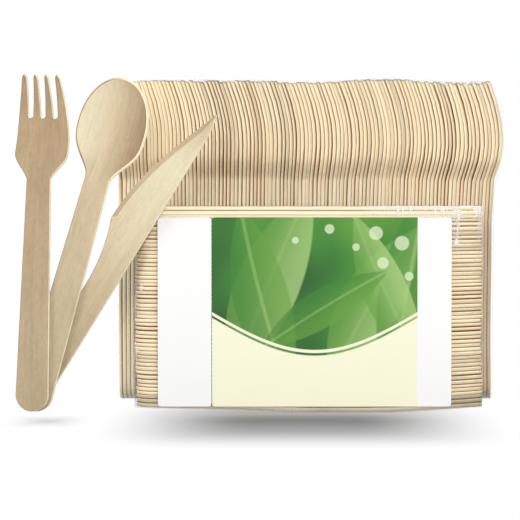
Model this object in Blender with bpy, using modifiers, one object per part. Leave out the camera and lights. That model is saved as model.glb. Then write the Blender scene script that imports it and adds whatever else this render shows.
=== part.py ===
"""Wooden cutlery pack: two film-wrapped bundles of thin wooden cutlery and three loose pieces.

The origin is on the flat under the front bundle. +X runs along that bundle to the right, +Y runs
away from its labelled face and +Z is up. Lengths are in metres.

The back bundle holds the forks, upright on their handle ends. The front bundle holds the knives,
lying on their faces behind the labels, and the spoons, lying behind the knives. Five pieces that
lie together are one solid, with a groove between each two edges.
"""

import math

import bmesh
import bpy
import numpy as np
from mathutils import Matrix, Vector

MM = 0.001

# Clearance between faces that touch
GAP = 0.3 * MM

# Wood plate
PLATE = 1.6 * MM
GROOVE_DEPTH = 0.9 * MM
PIECES_PER_SOLID = 5

# Handle end, the same on all three kinds: a packed one is cut off flat, and a loose one is rounder
END_WIDTH = 16.3 * MM
END_FLAT = 7.0 * MM
END_TIP = 3.0 * MM
END_ROUND = 8.0 * MM

# Length of the spoons and of the knives, which are packed end to end with each other
LONG_PIECE = 165.0 * MM

# Steps of a rounded handle end and of a handle, as shares of their lengths
END_STEPS = (0.0, 0.15, 0.5, 1.0)
HANDLE_STEPS = (0.4, 0.7, 1.0)

# Fork
FORK_COUNT = 100
FORK_PITCH = 1.87 * MM
FORK_LENGTH = 161.0 * MM
FORK_NECK_WIDTH = 11.8 * MM
FORK_NECK_FROM_TIP = 50.0 * MM
FORK_HEAD_WIDTH = 26.3 * MM
FORK_WIDEST_FROM_TIP = 37.5 * MM
FORK_TIP_WIDTH = 18.1 * MM
FORK_SHOULDER_POWER = 1.38
FORK_TAPER_POWER = 1.7
FORK_BULGE = 4.9 * MM
FORK_BULGE_FROM_TIP = 28.8 * MM
FORK_TIP_SET = 2.0 * MM
SLOT_DEPTH = 20.5 * MM
SLOT_FOOT_WIDTH = 2.2 * MM
SLOT_MOUTH_WIDTH = 3.5 * MM
SLOT_FOOT_PITCH = 6.2 * MM
SLOT_MOUTH_PITCH = 5.3 * MM
SLOT_CUTTER_OVERSHOOT = 2.0 * MM
SLOT_STEPS = (0.0, 0.3, 0.65)
SHOULDER_STEPS = (0.25, 0.5, 0.75, 1.0)
TINE_ROUND = 1.6 * MM
TINE_TIP_SHARE = 0.45

# Spoon
SPOON_COUNT = 50
SPOON_LENGTH = LONG_PIECE
SPOON_NECK_WIDTH = 12.1 * MM
SPOON_NECK_FROM_TIP = 50.0 * MM
BOWL_WIDTH = 34.0 * MM
BOWL_WIDEST_FROM_TIP = 24.0 * MM
BOWL_DEPTH = 5.5 * MM
BOWL_TIP_FLAT = 5.0 * MM
BOWL_SHOULDER_POWER = 1.5
BOWL_DISH_POWER = 0.8
PACKED_BOWL_STEP = 0.4
BOWL_STEPS = (0.92, 0.84, 0.74, 0.62, 0.48, 0.36, 0.25, 0.15, 0.07, 0.02, 0.0)
BOWL_SHARES_ACROSS = (-1.0, -0.75, -0.4, 0.0, 0.4, 0.75, 1.0)

# Knife
KNIFE_COUNT = 50
KNIFE_PITCH = 1.95 * MM
KNIFE_LENGTH = LONG_PIECE
KNIFE_NECK_WIDTH = 13.2 * MM
KNIFE_NECK_FROM_TIP = 103.0 * MM
KNIFE_HEEL_FROM_TIP = 66.0 * MM
BLADE_WIDTH = 19.6 * MM
KNIFE_TIP_DROP = 1.6 * MM
KNIFE_TIP_WIDTH = 2.0 * MM
KNIFE_POINT = 0.8 * MM
SPINE_CURVE = 17.0 * MM
BEVEL_WIDTH = 2.2 * MM
BEVEL_EDGE = 0.6 * MM
HANDLE_BEVEL = 0.4 * MM
HEEL_POWER = 2.2
BELLY_POWER = 1.05
HEEL_EASE = 8.0 * MM
HEEL_STEP = 0.5 * MM
PACKED_HANDLE_STEP = 0.7
PACKED_BLADE_STEP = 0.4
PACKED_CURVE_STEP = 0.6
BLADE_STEPS = (0.8, 0.6, 0.42, 0.27, 0.15, 0.06, 0.0)

# Places along the front bundle at which its two stacks are set against each other
SETBACK_SAMPLES = 331

# Film wraps
FILM = 0.25 * MM
FRONT_WRAP_TURN_IN = 14.0 * MM
FORK_WRAP_TURN_IN = 3.5 * MM

# Bow of the front bundle's underside
FLAT_LEFT = 4.0 * MM
FLAT_RIGHT = 34.0 * MM
BOW_LEFT = 2.1 * MM
BOW_RIGHT = 2.4 * MM
BOW_LEFT_POWER = 0.7
BOW_RIGHT_POWER = 1.4

# Labels on the front bundle
PAPER = 0.2 * MM
LABEL_HEIGHT = 90.0 * MM
LABEL_BELOW_TOP = 5.0 * MM
STICKER_WIDTH = 25.5 * MM
STICKER_FROM_END = 11.2 * MM
LABEL_WIDTH = 113.8 * MM

# Loose pieces, in front of the front bundle's left end
TURN_TO_PACK = math.radians(12.0)
FORK_LEAN = math.radians(2.1)
SPOON_LEAN = math.radians(16.6)
KNIFE_LEAN = math.radians(32.5)
FORK_FOOT = 49.4 * MM
SPOON_FOOT = 49.9 * MM
KNIFE_FOOT = 46.1 * MM
KNIFE_LIFT = 4.0 * MM

WOOD_EDGE = (0.80, 0.62, 0.40, 1.0)
WOOD_FACE = (0.62, 0.47, 0.27, 1.0)
FILM_CLEAR = (0.90, 0.92, 0.92, 0.25)
LABEL_GREEN = (0.13, 0.40, 0.07, 1.0)
PAPER_WHITE = (0.90, 0.90, 0.88, 1.0)


def make_material(name, colour, roughness):
    material = bpy.data.materials.new(name)
    material.use_nodes = True
    shader = material.node_tree.nodes["Principled BSDF"]
    shader.inputs["Base Color"].default_value = colour
    shader.inputs["Roughness"].default_value = roughness
    shader.inputs["Metallic"].default_value = 0.0
    shader.inputs["Alpha"].default_value = colour[3]
    return material


def link_object(name, mesh, material, collection):
    obj = bpy.data.objects.new(name, mesh)
    obj.data.materials.append(material)
    collection.objects.link(obj)
    return obj


# Outlines. A station is (u, low, high): u runs from the handle end to the tip, and low and high
# are the two edges across it.


def handle_half_width(u, neck_at, neck_width):
    """Half width of a handle that tapers straight from its rounded end to the neck."""
    if u <= 0.0:
        return END_FLAT / 2
    if u < END_ROUND:
        return END_WIDTH / 2 * math.sqrt(1.0 - (1.0 - u / END_ROUND) ** 2)
    share = (u - END_ROUND) / (neck_at - END_ROUND)
    return (END_WIDTH + (neck_width - END_WIDTH) * share) / 2


def fork_half_width(u):
    """Handle, then round shoulders up to the widest place, then a full taper to the tips."""
    from_tip = FORK_LENGTH - u
    if from_tip >= FORK_NECK_FROM_TIP:
        return handle_half_width(u, FORK_LENGTH - FORK_NECK_FROM_TIP, FORK_NECK_WIDTH)
    if from_tip >= FORK_WIDEST_FROM_TIP:
        share = (FORK_NECK_FROM_TIP - from_tip) / (FORK_NECK_FROM_TIP - FORK_WIDEST_FROM_TIP)
        rise = math.sin(math.pi / 2 * share ** FORK_SHOULDER_POWER)
        return (FORK_NECK_WIDTH + (FORK_HEAD_WIDTH - FORK_NECK_WIDTH) * rise) / 2
    fall = 1.0 - (1.0 - from_tip / FORK_WIDEST_FROM_TIP) ** FORK_TAPER_POWER
    return (FORK_TIP_WIDTH + (FORK_HEAD_WIDTH - FORK_TIP_WIDTH) * fall) / 2


def fork_camber(u):
    """How far the bent head stands out of the handle's plane, along the stack."""
    from_tip = FORK_LENGTH - u
    if from_tip >= FORK_NECK_FROM_TIP:
        return 0.0
    if from_tip >= FORK_BULGE_FROM_TIP:
        share = (FORK_NECK_FROM_TIP - from_tip) / (FORK_NECK_FROM_TIP - FORK_BULGE_FROM_TIP)
        return FORK_BULGE * share * share * (3.0 - 2.0 * share)
    share = 1.0 - from_tip / FORK_BULGE_FROM_TIP
    return FORK_BULGE - (FORK_BULGE + FORK_TIP_SET) * share * share


def spoon_half_width(u):
    """Handle, then an egg-shaped bowl."""
    from_tip = SPOON_LENGTH - u
    if from_tip >= SPOON_NECK_FROM_TIP:
        return handle_half_width(u, SPOON_LENGTH - SPOON_NECK_FROM_TIP, SPOON_NECK_WIDTH)
    if from_tip >= BOWL_WIDEST_FROM_TIP:
        share = (from_tip - BOWL_WIDEST_FROM_TIP) / (SPOON_NECK_FROM_TIP - BOWL_WIDEST_FROM_TIP)
        rise = 0.5 + 0.5 * math.cos(math.pi * share ** BOWL_SHOULDER_POWER)
        return (SPOON_NECK_WIDTH + (BOWL_WIDTH - SPOON_NECK_WIDTH) * rise) / 2
    share = 1.0 - from_tip / BOWL_WIDEST_FROM_TIP
    return max(BOWL_WIDTH / 2 * math.sqrt(1.0 - share * share), BOWL_TIP_FLAT / 2)


def bowl_dish(u):
    """Depth of the bowl along its middle line."""
    from_tip = SPOON_LENGTH - u
    if from_tip >= SPOON_NECK_FROM_TIP:
        return 0.0
    return BOWL_DEPTH * math.sin(math.pi * from_tip / SPOON_NECK_FROM_TIP) ** BOWL_DISH_POWER


def knife_edges(u):
    """The spine, straight up to its curve at the tip, and the edge opposite it."""
    from_tip = KNIFE_LENGTH - u
    spine = 0.0
    if from_tip < SPINE_CURVE:
        spine = KNIFE_TIP_DROP * (1.0 - from_tip / SPINE_CURVE) ** 2
    neck_at = KNIFE_LENGTH - KNIFE_NECK_FROM_TIP
    if u <= neck_at:
        half = handle_half_width(u, neck_at, KNIFE_NECK_WIDTH)
        if u < END_ROUND:
            return END_WIDTH / 2 - half, END_WIDTH / 2 + half
        return 0.0, 2.0 * half
    if from_tip > KNIFE_HEEL_FROM_TIP:
        share = (u - neck_at) / (KNIFE_NECK_FROM_TIP - KNIFE_HEEL_FROM_TIP)
        return 0.0, KNIFE_NECK_WIDTH + (BLADE_WIDTH - KNIFE_NECK_WIDTH) * share ** HEEL_POWER
    belly = math.sin(math.pi / 2 * from_tip / KNIFE_HEEL_FROM_TIP) ** BELLY_POWER
    low_at_tip = KNIFE_TIP_DROP + KNIFE_TIP_WIDTH
    return spine, low_at_tip + (BLADE_WIDTH - low_at_tip) * belly


def fork_stations(places):
    return [(u, -fork_half_width(u), fork_half_width(u)) for u in places]


def spoon_stations(places):
    return [(u, -spoon_half_width(u), spoon_half_width(u)) for u in places]


def knife_stations(places):
    return [(u, *knife_edges(u)) for u in places]


def packed_fork_stations():
    places = [FORK_LENGTH - FORK_NECK_FROM_TIP,
              FORK_LENGTH - (FORK_NECK_FROM_TIP + FORK_WIDEST_FROM_TIP) / 2,
              FORK_LENGTH - FORK_WIDEST_FROM_TIP,
              FORK_LENGTH - FORK_BULGE_FROM_TIP,
              FORK_LENGTH - FORK_BULGE_FROM_TIP / 2]
    return fork_stations([0.0, END_ROUND, *places, FORK_LENGTH])


def packed_spoon_stations():
    places = [SPOON_LENGTH - SPOON_NECK_FROM_TIP,
              SPOON_LENGTH - (SPOON_NECK_FROM_TIP + BOWL_WIDEST_FROM_TIP) / 2,
              SPOON_LENGTH - BOWL_WIDEST_FROM_TIP,
              SPOON_LENGTH - BOWL_WIDEST_FROM_TIP * PACKED_BOWL_STEP]
    return spoon_stations([0.0, END_ROUND, *places, SPOON_LENGTH])


def packed_knife_stations():
    places = [KNIFE_LENGTH / 2 - FLAT_LEFT,
              KNIFE_LENGTH - KNIFE_HEEL_FROM_TIP - HEEL_EASE,
              KNIFE_LENGTH - KNIFE_HEEL_FROM_TIP,
              KNIFE_LENGTH / 2 + FLAT_RIGHT,
              KNIFE_LENGTH - KNIFE_HEEL_FROM_TIP * PACKED_BLADE_STEP,
              KNIFE_LENGTH - SPINE_CURVE * PACKED_CURVE_STEP]
    handle_middle = (KNIFE_LENGTH - KNIFE_NECK_FROM_TIP) * PACKED_HANDLE_STEP
    return knife_stations([0.0, END_ROUND, handle_middle, *places, KNIFE_LENGTH])


# Places that several pieces share


def spoon_setback():
    """Distance from the knives' spines to the spoons' middle line, where the stacks just clear."""
    knives = np.array(packed_knife_stations())
    spoons = np.array(packed_spoon_stations())
    along = np.linspace(-KNIFE_LENGTH / 2, KNIFE_LENGTH / 2, SETBACK_SAMPLES)
    knife_back = np.interp(along, knives[:, 0] - KNIFE_LENGTH / 2, knives[:, 2])
    spoon_front = np.interp(along, spoons[:, 0] - SPOON_LENGTH / 2, spoons[:, 2], 0.0, 0.0)
    return float(np.max(knife_back + spoon_front)) + GAP


def fork_wrap_half(u):
    """Half depth inside the forks' film: straight from the handle end to the widest place of the
    head, and along the head's edge above it."""
    widest = FORK_LENGTH - FORK_WIDEST_FROM_TIP
    if END_ROUND < u < widest:
        share = (u - END_ROUND) / (widest - END_ROUND)
        return (END_WIDTH + (FORK_HEAD_WIDTH - END_WIDTH) * share) / 2 + GAP
    return fork_half_width(u) + GAP


BLOCK_LENGTH = max(KNIFE_LENGTH, SPOON_LENGTH)
BLOCK_DEPTH = spoon_setback() + BOWL_WIDTH / 2
BLOCK_FLOOR = FILM + GAP
BLOCK_TOP = BLOCK_FLOOR + KNIFE_PITCH * KNIFE_COUNT
WRAP_HALF_LENGTH = BLOCK_LENGTH / 2 + GAP
WRAP_HALF_DEPTH = BLOCK_DEPTH / 2 + GAP
WRAP_FRONT = -(WRAP_HALF_DEPTH + FILM)
SPINE_Y = -BLOCK_DEPTH / 2
SPOON_Y = SPINE_Y + spoon_setback()
FORK_FLOOR = FILM + GAP
TOUCHING_HEIGHT = min(BLOCK_TOP + GAP + FILM - FORK_FLOOR, FORK_LENGTH - FORK_WIDEST_FROM_TIP)
FORK_Y = WRAP_HALF_DEPTH + FILM + GAP + FILM + fork_wrap_half(TOUCHING_HEIGHT)
FORK_STACK_HALF = FORK_PITCH * FORK_COUNT / 2


def bow(x):
    """Rise of the front bundle's underside, zero over the flat that it rests on."""
    if x < -FLAT_LEFT:
        return BOW_LEFT * ((-FLAT_LEFT - x) / (BLOCK_LENGTH / 2 - FLAT_LEFT)) ** BOW_LEFT_POWER
    if x > FLAT_RIGHT:
        return BOW_RIGHT * ((x - FLAT_RIGHT) / (BLOCK_LENGTH / 2 - FLAT_RIGHT)) ** BOW_RIGHT_POWER
    return 0.0


# Stacked pieces


def outline_ring(stations, inset):
    """The outline as a ring of (u, v), pulled in by inset on every side."""
    first = stations[0][0]
    last = stations[-1][0]
    low_side = []
    high_side = []
    for u, low, high in stations:
        pulled = min(max(u, first + inset), last - inset)
        low_side.append((pulled, low + inset))
        high_side.append((pulled, high - inset))
    return low_side + high_side[::-1]


def stack_levels(first, count, pitch):
    """Levels in the stack, in pieces, each with the groove's depth there."""
    levels = [(first + GAP / 2 / pitch, GROOVE_DEPTH)]
    for piece in range(first, first + count):
        levels.append((piece + 0.5, 0.0))
        if piece < first + count - 1:
            levels.append((piece + 1.0, GROOVE_DEPTH))
    levels.append((first + count - GAP / 2 / pitch, GROOVE_DEPTH))
    return levels


def stack_solid(name, stations, levels, place, material, collection, middle=None):
    """A comb-edged block: a loft through the outline at each level, full width at a piece's
    middle and pulled in at a groove. place turns (u, v, level) into a point, and middle gives
    the depth of a hollow along the middle line of both end faces."""
    mesh_data = bmesh.new()
    rings = []
    for level, inset in levels:
        ring = [mesh_data.verts.new(place(u, v, level)) for u, v in outline_ring(stations, inset)]
        rings.append(ring)
    size = len(rings[0])
    for lower, upper in zip(rings, rings[1:]):
        for i in range(size):
            j = (i + 1) % size
            mesh_data.faces.new((lower[i], lower[j], upper[j], upper[i]))
    for ring, (level, inset) in ((rings[0], levels[0]), (rings[-1], levels[-1])):
        cover_ladder(mesh_data, ring, stations, level, place, middle)
    bmesh.ops.recalc_face_normals(mesh_data, faces=mesh_data.faces)
    mesh = bpy.data.meshes.new(name)
    mesh_data.to_mesh(mesh)
    mesh_data.free()
    return link_object(name, mesh, material, collection)


def cover_ladder(mesh_data, ring, stations, level, place, middle):
    """Close a ring with rungs from its low side to its high side."""
    count = len(stations)
    low = ring[:count]
    high = ring[count:][::-1]
    if middle is None:
        for i in range(count - 1):
            mesh_data.faces.new((low[i], low[i + 1], high[i + 1], high[i]))
        return
    spine = []
    for i, (u, _, _) in enumerate(stations):
        depth = middle(u)
        if depth > 0.0 and 0 < i < count - 1:
            centre = place(u, 0.0, level)
            spine.append(mesh_data.verts.new(centre - Vector((0.0, 0.0, depth))))
        else:
            spine.append(None)
    for i in range(count - 1):
        near, far = spine[i], spine[i + 1]
        if near is None and far is None:
            mesh_data.faces.new((low[i], low[i + 1], high[i + 1], high[i]))
            continue
        for side in (low, high):
            corners = [side[i], side[i + 1], far, near]
            mesh_data.faces.new([corner for corner in corners if corner is not None])
        if near is None:
            mesh_data.faces.new((low[i], far, high[i]))
        if far is None:
            mesh_data.faces.new((low[i + 1], high[i + 1], near))


def bundle_ranges(count):
    """First piece and number of pieces of each solid."""
    return [(first, min(PIECES_PER_SOLID, count - first))
            for first in range(0, count, PIECES_PER_SOLID)]


def stack_camber(u):
    """The fork's camber, straight between the stations of the stacked forks."""
    places = [station[0] for station in packed_fork_stations()]
    return float(np.interp(u, places, [fork_camber(place) for place in places]))


def place_in_fork_stack(u, v, level):
    x = level * FORK_PITCH - FORK_STACK_HALF + stack_camber(u)
    return Vector((x, FORK_Y + v, FORK_FLOOR + u))


def place_in_knife_stack(u, v, level):
    x = u - KNIFE_LENGTH / 2
    floor = BLOCK_FLOOR + bow(x)
    return Vector((x, SPINE_Y + v, floor + (BLOCK_TOP - floor) * level / KNIFE_COUNT))


def place_in_spoon_stack(u, v, level):
    x = u - SPOON_LENGTH / 2
    floor = BLOCK_FLOOR + bow(x) + BOWL_DEPTH
    return Vector((x, SPOON_Y + v, floor + (BLOCK_TOP - floor) * level / SPOON_COUNT))


def make_slot_cutter(collection):
    """Three wedges that run the length of the fork stack, one for each gap between tines."""
    mesh_data = bmesh.new()
    foot = FORK_FLOOR + FORK_LENGTH - SLOT_DEPTH
    mouth = FORK_FLOOR + FORK_LENGTH + SLOT_CUTTER_OVERSHOOT
    reach = FORK_STACK_HALF + FORK_BULGE + FORK_TIP_SET
    for slot in (-1, 0, 1):
        made = bmesh.ops.create_cube(mesh_data, size=1.0)
        for vert in made["verts"]:
            at_mouth = vert.co.z > 0.0
            pitch = SLOT_MOUTH_PITCH if at_mouth else SLOT_FOOT_PITCH
            width = SLOT_MOUTH_WIDTH if at_mouth else SLOT_FOOT_WIDTH
            y = FORK_Y + slot * pitch + vert.co.y * width
            vert.co = Vector((2.0 * vert.co.x * reach, y, mouth if at_mouth else foot))
    mesh = bpy.data.meshes.new("tine_slot_cutter")
    mesh_data.to_mesh(mesh)
    mesh_data.free()
    cutter = bpy.data.objects.new("tine_slot_cutter", mesh)
    cutter.hide_render = True
    cutter.display_type = "WIRE"
    collection.objects.link(cutter)
    return cutter


def make_fork_bundles(material, collection, cutters):
    cutter = make_slot_cutter(cutters)
    stations = packed_fork_stations()
    for number, (first, count) in enumerate(bundle_ranges(FORK_COUNT), start=1):
        levels = stack_levels(first, count, FORK_PITCH)
        bundle = stack_solid(f"fork_bundle_{number:02d}", stations, levels, place_in_fork_stack,
                             material, collection)
        cut = bundle.modifiers.new("tine_slots", "BOOLEAN")
        cut.operation = "DIFFERENCE"
        cut.solver = "EXACT"
        cut.object = cutter


def make_knife_bundles(material, collection):
    stations = packed_knife_stations()
    for number, (first, count) in enumerate(bundle_ranges(KNIFE_COUNT), start=1):
        levels = stack_levels(first, count, KNIFE_PITCH)
        stack_solid(f"knife_bundle_{number:02d}", stations, levels, place_in_knife_stack,
                    material, collection)


def make_spoon_bundles(material, collection):
    stations = packed_spoon_stations()
    pitch = (BLOCK_TOP - BLOCK_FLOOR - BOWL_DEPTH) / SPOON_COUNT
    for number, (first, count) in enumerate(bundle_ranges(SPOON_COUNT), start=1):
        levels = stack_levels(first, count, pitch)
        stack_solid(f"spoon_bundle_{number:02d}", stations, levels, place_in_spoon_stack,
                    material, collection, middle=bowl_dish)


# Film wraps


def make_wrap(name, sections, material, collection):
    """A sleeve of film through the sections, each a ring of points, thickened outwards."""
    mesh_data = bmesh.new()
    rings = [[mesh_data.verts.new(point) for point in section] for section in sections]
    size = len(rings[0])
    for near, far in zip(rings, rings[1:]):
        for i in range(size):
            j = (i + 1) % size
            mesh_data.faces.new((near[i], far[i], far[j], near[j]))
    mesh = bpy.data.meshes.new(name)
    mesh_data.to_mesh(mesh)
    mesh_data.free()
    wrap = link_object(name, mesh, material, collection)
    skin = wrap.modifiers.new("film", "SOLIDIFY")
    skin.thickness = FILM
    skin.offset = 1.0
    skin.use_even_offset = True
    return wrap


def front_wrap_section(x, turn_in):
    """The front bundle's box section at x, seen from +X and running clockwise from below."""
    bottom = FILM + bow(x) + turn_in
    top = BLOCK_TOP + GAP - turn_in
    half = WRAP_HALF_DEPTH - turn_in
    return [Vector((x, y, z)) for y, z in ((-half, bottom), (-half, top), (half, top), (half, bottom))]


def make_front_wrap(material, collection):
    places = [u - KNIFE_LENGTH / 2 for u, _, _ in packed_knife_stations()[1:-1]]
    places = [-WRAP_HALF_LENGTH, *places, WRAP_HALF_LENGTH]
    sections = [front_wrap_section(places[0], FRONT_WRAP_TURN_IN)]
    sections += [front_wrap_section(x, 0.0) for x in places]
    sections.append(front_wrap_section(places[-1], FRONT_WRAP_TURN_IN))
    return make_wrap("front_wrap", sections, material, collection)


def fork_wrap_section(x, turn_in):
    """The film round the forks at x: straight from handle end to head, and bent as the head is."""
    shrink = 1.0 - turn_in / (END_WIDTH / 2)
    front = []
    for u, _, _ in packed_fork_stations():
        half = fork_wrap_half(u) * shrink
        if u == 0.0:
            u = turn_in - GAP
        elif u == FORK_LENGTH:
            u = FORK_LENGTH + GAP - turn_in
        front.append((u, half))
    ring = [(u, -half) for u, half in front] + [(u, half) for u, half in front[::-1]]
    return [Vector((x + stack_camber(u), FORK_Y + v, FORK_FLOOR + u)) for u, v in ring]


def make_fork_wrap(material, collection):
    end = FORK_STACK_HALF + GAP
    sections = [fork_wrap_section(-end, FORK_WRAP_TURN_IN), fork_wrap_section(-end, 0.0),
                fork_wrap_section(end, 0.0), fork_wrap_section(end, FORK_WRAP_TURN_IN)]
    return make_wrap("fork_wrap", sections, material, collection)


# Labels


def make_paper(name, left, width, material, collection):
    """A flat sheet on the film of the front bundle's face."""
    top = BLOCK_TOP - LABEL_BELOW_TOP
    mesh_data = bmesh.new()
    bmesh.ops.create_cube(mesh_data, size=1.0)
    centre = Vector((left + width / 2, WRAP_FRONT - GAP - PAPER / 2, top - LABEL_HEIGHT / 2))
    for vert in mesh_data.verts:
        vert.co = centre + Vector((vert.co.x * width, vert.co.y * PAPER, vert.co.z * LABEL_HEIGHT))
    mesh = bpy.data.meshes.new(name)
    mesh_data.to_mesh(mesh)
    mesh_data.free()
    return link_object(name, mesh, material, collection)


def make_labels(paper, print_green, collection):
    sticker_left = STICKER_FROM_END - WRAP_HALF_LENGTH
    label_left = sticker_left + STICKER_WIDTH + GAP
    make_paper("white_sticker", sticker_left, STICKER_WIDTH, paper, collection)
    make_paper("front_label", label_left, LABEL_WIDTH, print_green, collection)


# Loose pieces. Each is modelled with x across it, y through it and z along it, and stands on its
# handle end, leaning in a plane that touches the front bundle's left corner.


def plate_from_grid(name, rows, skipped, material, collection):
    """A plate of even thickness over a grid of points. skipped tells which cells are left out."""
    mesh_data = bmesh.new()
    verts = [[mesh_data.verts.new(point) for point in row] for row in rows]
    for i in range(len(rows) - 1):
        for j in range(len(rows[0]) - 1):
            if not skipped(i, j):
                mesh_data.faces.new((verts[i][j], verts[i][j + 1], verts[i + 1][j + 1], verts[i + 1][j]))
    loose = [vert for vert in mesh_data.verts if not vert.link_faces]
    bmesh.ops.delete(mesh_data, geom=loose, context="VERTS")
    mesh = bpy.data.meshes.new(name)
    mesh_data.to_mesh(mesh)
    mesh_data.free()
    plate = link_object(name, mesh, material, collection)
    skin = plate.modifiers.new("plate", "SOLIDIFY")
    skin.thickness = PLATE
    skin.offset = 0.0
    skin.use_even_offset = True
    return plate


def stand_leaning(piece, lean, foot, layer, lift=0.0):
    """Stand a piece with its lowest point a lift above the ground, layer by layer in front of the
    pack's left corner."""
    turn = Matrix.Rotation(-TURN_TO_PACK, 4, "Z")
    turned = turn @ Matrix.Rotation(lean, 4, "Y")
    lowest = min((turned @ vert.co).z for vert in piece.data.vertices)
    corner = Vector((-(WRAP_HALF_LENGTH + FILM), WRAP_FRONT, 0.0))
    forward = GAP + PLATE / 2 + layer * (GAP + PLATE)
    offset = turn @ Vector((-foot, -forward, 0.0))
    upward = Vector((0.0, 0.0, lift - lowest))
    piece.matrix_world = Matrix.Translation(corner + offset + upward) @ turned


def handle_places(neck):
    """Heights of a handle's sections, from its end to the neck."""
    return [END_ROUND * step for step in END_STEPS] + [neck * step for step in HANDLE_STEPS]


def loose_edges(u, low, high):
    """The two edges of a loose piece at u, drawn together at the very end of its handle."""
    if u > 0.0:
        return low, high
    middle = (low + high) / 2
    return middle - END_TIP / 2, middle + END_TIP / 2


def make_loose_fork(material, collection):
    slot_foot = FORK_LENGTH - SLOT_DEPTH
    neck = FORK_LENGTH - FORK_NECK_FROM_TIP
    widest = FORK_LENGTH - FORK_WIDEST_FROM_TIP
    shoulder = widest - neck
    places = handle_places(neck)
    places += [neck + shoulder * step for step in SHOULDER_STEPS]
    places.append((widest + slot_foot) / 2)
    places += [slot_foot + SLOT_DEPTH * step for step in SLOT_STEPS]
    places += [FORK_LENGTH - TINE_ROUND, FORK_LENGTH]
    foot_row = places.index(slot_foot)
    foot_half = fork_half_width(slot_foot)
    rows = []
    for i, u in enumerate(places):
        _, half = loose_edges(u, -fork_half_width(u), fork_half_width(u))
        share = max(0.0, (u - slot_foot) / SLOT_DEPTH)
        pitch = SLOT_FOOT_PITCH + (SLOT_MOUTH_PITCH - SLOT_FOOT_PITCH) * share
        width = SLOT_FOOT_WIDTH + (SLOT_MOUTH_WIDTH - SLOT_FOOT_WIDTH) * share
        edges = [-half]
        for slot in (-1, 0, 1):
            edges += [slot * pitch - width / 2, slot * pitch + width / 2]
        edges.append(half)
        if i < foot_row:
            edges = [edge if abs(edge) == half else edge * half / foot_half for edge in edges]
        if i == len(places) - 1:
            edges = tine_tip_edges(edges)
        rows.append([Vector((x, fork_camber(u), u)) for x in edges])
    fork = plate_from_grid("loose_fork", rows, lambda i, j: i >= foot_row and j % 2 == 1,
                           material, collection)
    stand_leaning(fork, FORK_LEAN, FORK_FOOT, 2)


def tine_tip_edges(edges):
    """Draw each tine's two edges together at its rounded tip."""
    drawn = []
    for left, right in zip(edges[0::2], edges[1::2]):
        middle = (left + right) / 2
        drawn += [middle + (edge - middle) * TINE_TIP_SHARE for edge in (left, right)]
    return drawn


def make_loose_spoon(material, collection):
    neck = SPOON_LENGTH - SPOON_NECK_FROM_TIP
    places = handle_places(neck)
    places += [SPOON_LENGTH - SPOON_NECK_FROM_TIP * step for step in BOWL_STEPS]
    rows = []
    for u in places:
        _, half = loose_edges(u, -spoon_half_width(u), spoon_half_width(u))
        row = []
        for share in BOWL_SHARES_ACROSS:
            row.append(Vector((share * half, bowl_dish(u) * (1.0 - share * share), u)))
        rows.append(row)
    spoon = plate_from_grid("loose_spoon", rows, lambda i, j: False, material, collection)
    stand_leaning(spoon, SPOON_LEAN, SPOON_FOOT, 1)


def knife_section(u):
    """Section of the knife at u: flat faces that fall to a thin edge along the blade."""
    spine, edge = loose_edges(u, *knife_edges(u))
    if u == KNIFE_LENGTH:
        edge = spine + KNIFE_POINT
    on_blade = KNIFE_LENGTH - u < KNIFE_HEEL_FROM_TIP
    bevel = min(BEVEL_WIDTH, (edge - spine) * 0.5) if on_blade else HANDLE_BEVEL
    thin = BEVEL_EDGE if on_blade else PLATE - HANDLE_BEVEL
    half = PLATE / 2
    outline = [(spine, half), (edge - bevel, half), (edge, thin / 2),
               (edge, -thin / 2), (edge - bevel, -half), (spine, -half)]
    return [Vector((-across, through, u)) for across, through in outline]


def make_loose_knife(material, collection):
    neck = KNIFE_LENGTH - KNIFE_NECK_FROM_TIP
    heel = KNIFE_LENGTH - KNIFE_HEEL_FROM_TIP
    places = [END_ROUND * step for step in END_STEPS]
    places += [neck, (neck + heel) / 2, heel - HEEL_EASE, heel - HEEL_STEP, heel + HEEL_STEP]
    places += [KNIFE_LENGTH - KNIFE_HEEL_FROM_TIP * step for step in BLADE_STEPS]
    mesh_data = bmesh.new()
    rings = [[mesh_data.verts.new(point) for point in knife_section(u)] for u in places]
    size = len(rings[0])
    for lower, upper in zip(rings, rings[1:]):
        for i in range(size):
            j = (i + 1) % size
            mesh_data.faces.new((lower[i], lower[j], upper[j], upper[i]))
    mesh_data.faces.new(rings[0])
    mesh_data.faces.new(rings[-1])
    bmesh.ops.recalc_face_normals(mesh_data, faces=mesh_data.faces)
    mesh = bpy.data.meshes.new("loose_knife")
    mesh_data.to_mesh(mesh)
    mesh_data.free()
    knife = link_object("loose_knife", mesh, material, collection)
    stand_leaning(knife, KNIFE_LEAN, KNIFE_FOOT, 0, KNIFE_LIFT)


def clear_scene():
    for obj in list(bpy.data.objects):
        bpy.data.objects.remove(obj, do_unlink=True)


def new_collection(name):
    collection = bpy.data.collections.new(name)
    bpy.context.scene.collection.children.link(collection)
    return collection


def main():
    clear_scene()
    pack = new_collection("wooden_cutlery_pack")
    cutters = new_collection("cutters")
    edge_wood = make_material("stacked_wood", WOOD_EDGE, roughness=0.7)
    face_wood = make_material("loose_wood", WOOD_FACE, roughness=0.65)
    film = make_material("clear_film", FILM_CLEAR, roughness=0.1)
    paper = make_material("white_paper", PAPER_WHITE, roughness=0.5)
    print_green = make_material("printed_paper", LABEL_GREEN, roughness=0.35)
    make_fork_bundles(edge_wood, pack, cutters)
    make_knife_bundles(edge_wood, pack)
    make_spoon_bundles(edge_wood, pack)
    make_fork_wrap(film, pack)
    make_front_wrap(film, pack)
    make_labels(paper, print_green, pack)
    make_loose_fork(face_wood, pack)
    make_loose_spoon(face_wood, pack)
    make_loose_knife(face_wood, pack)


main()
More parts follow.
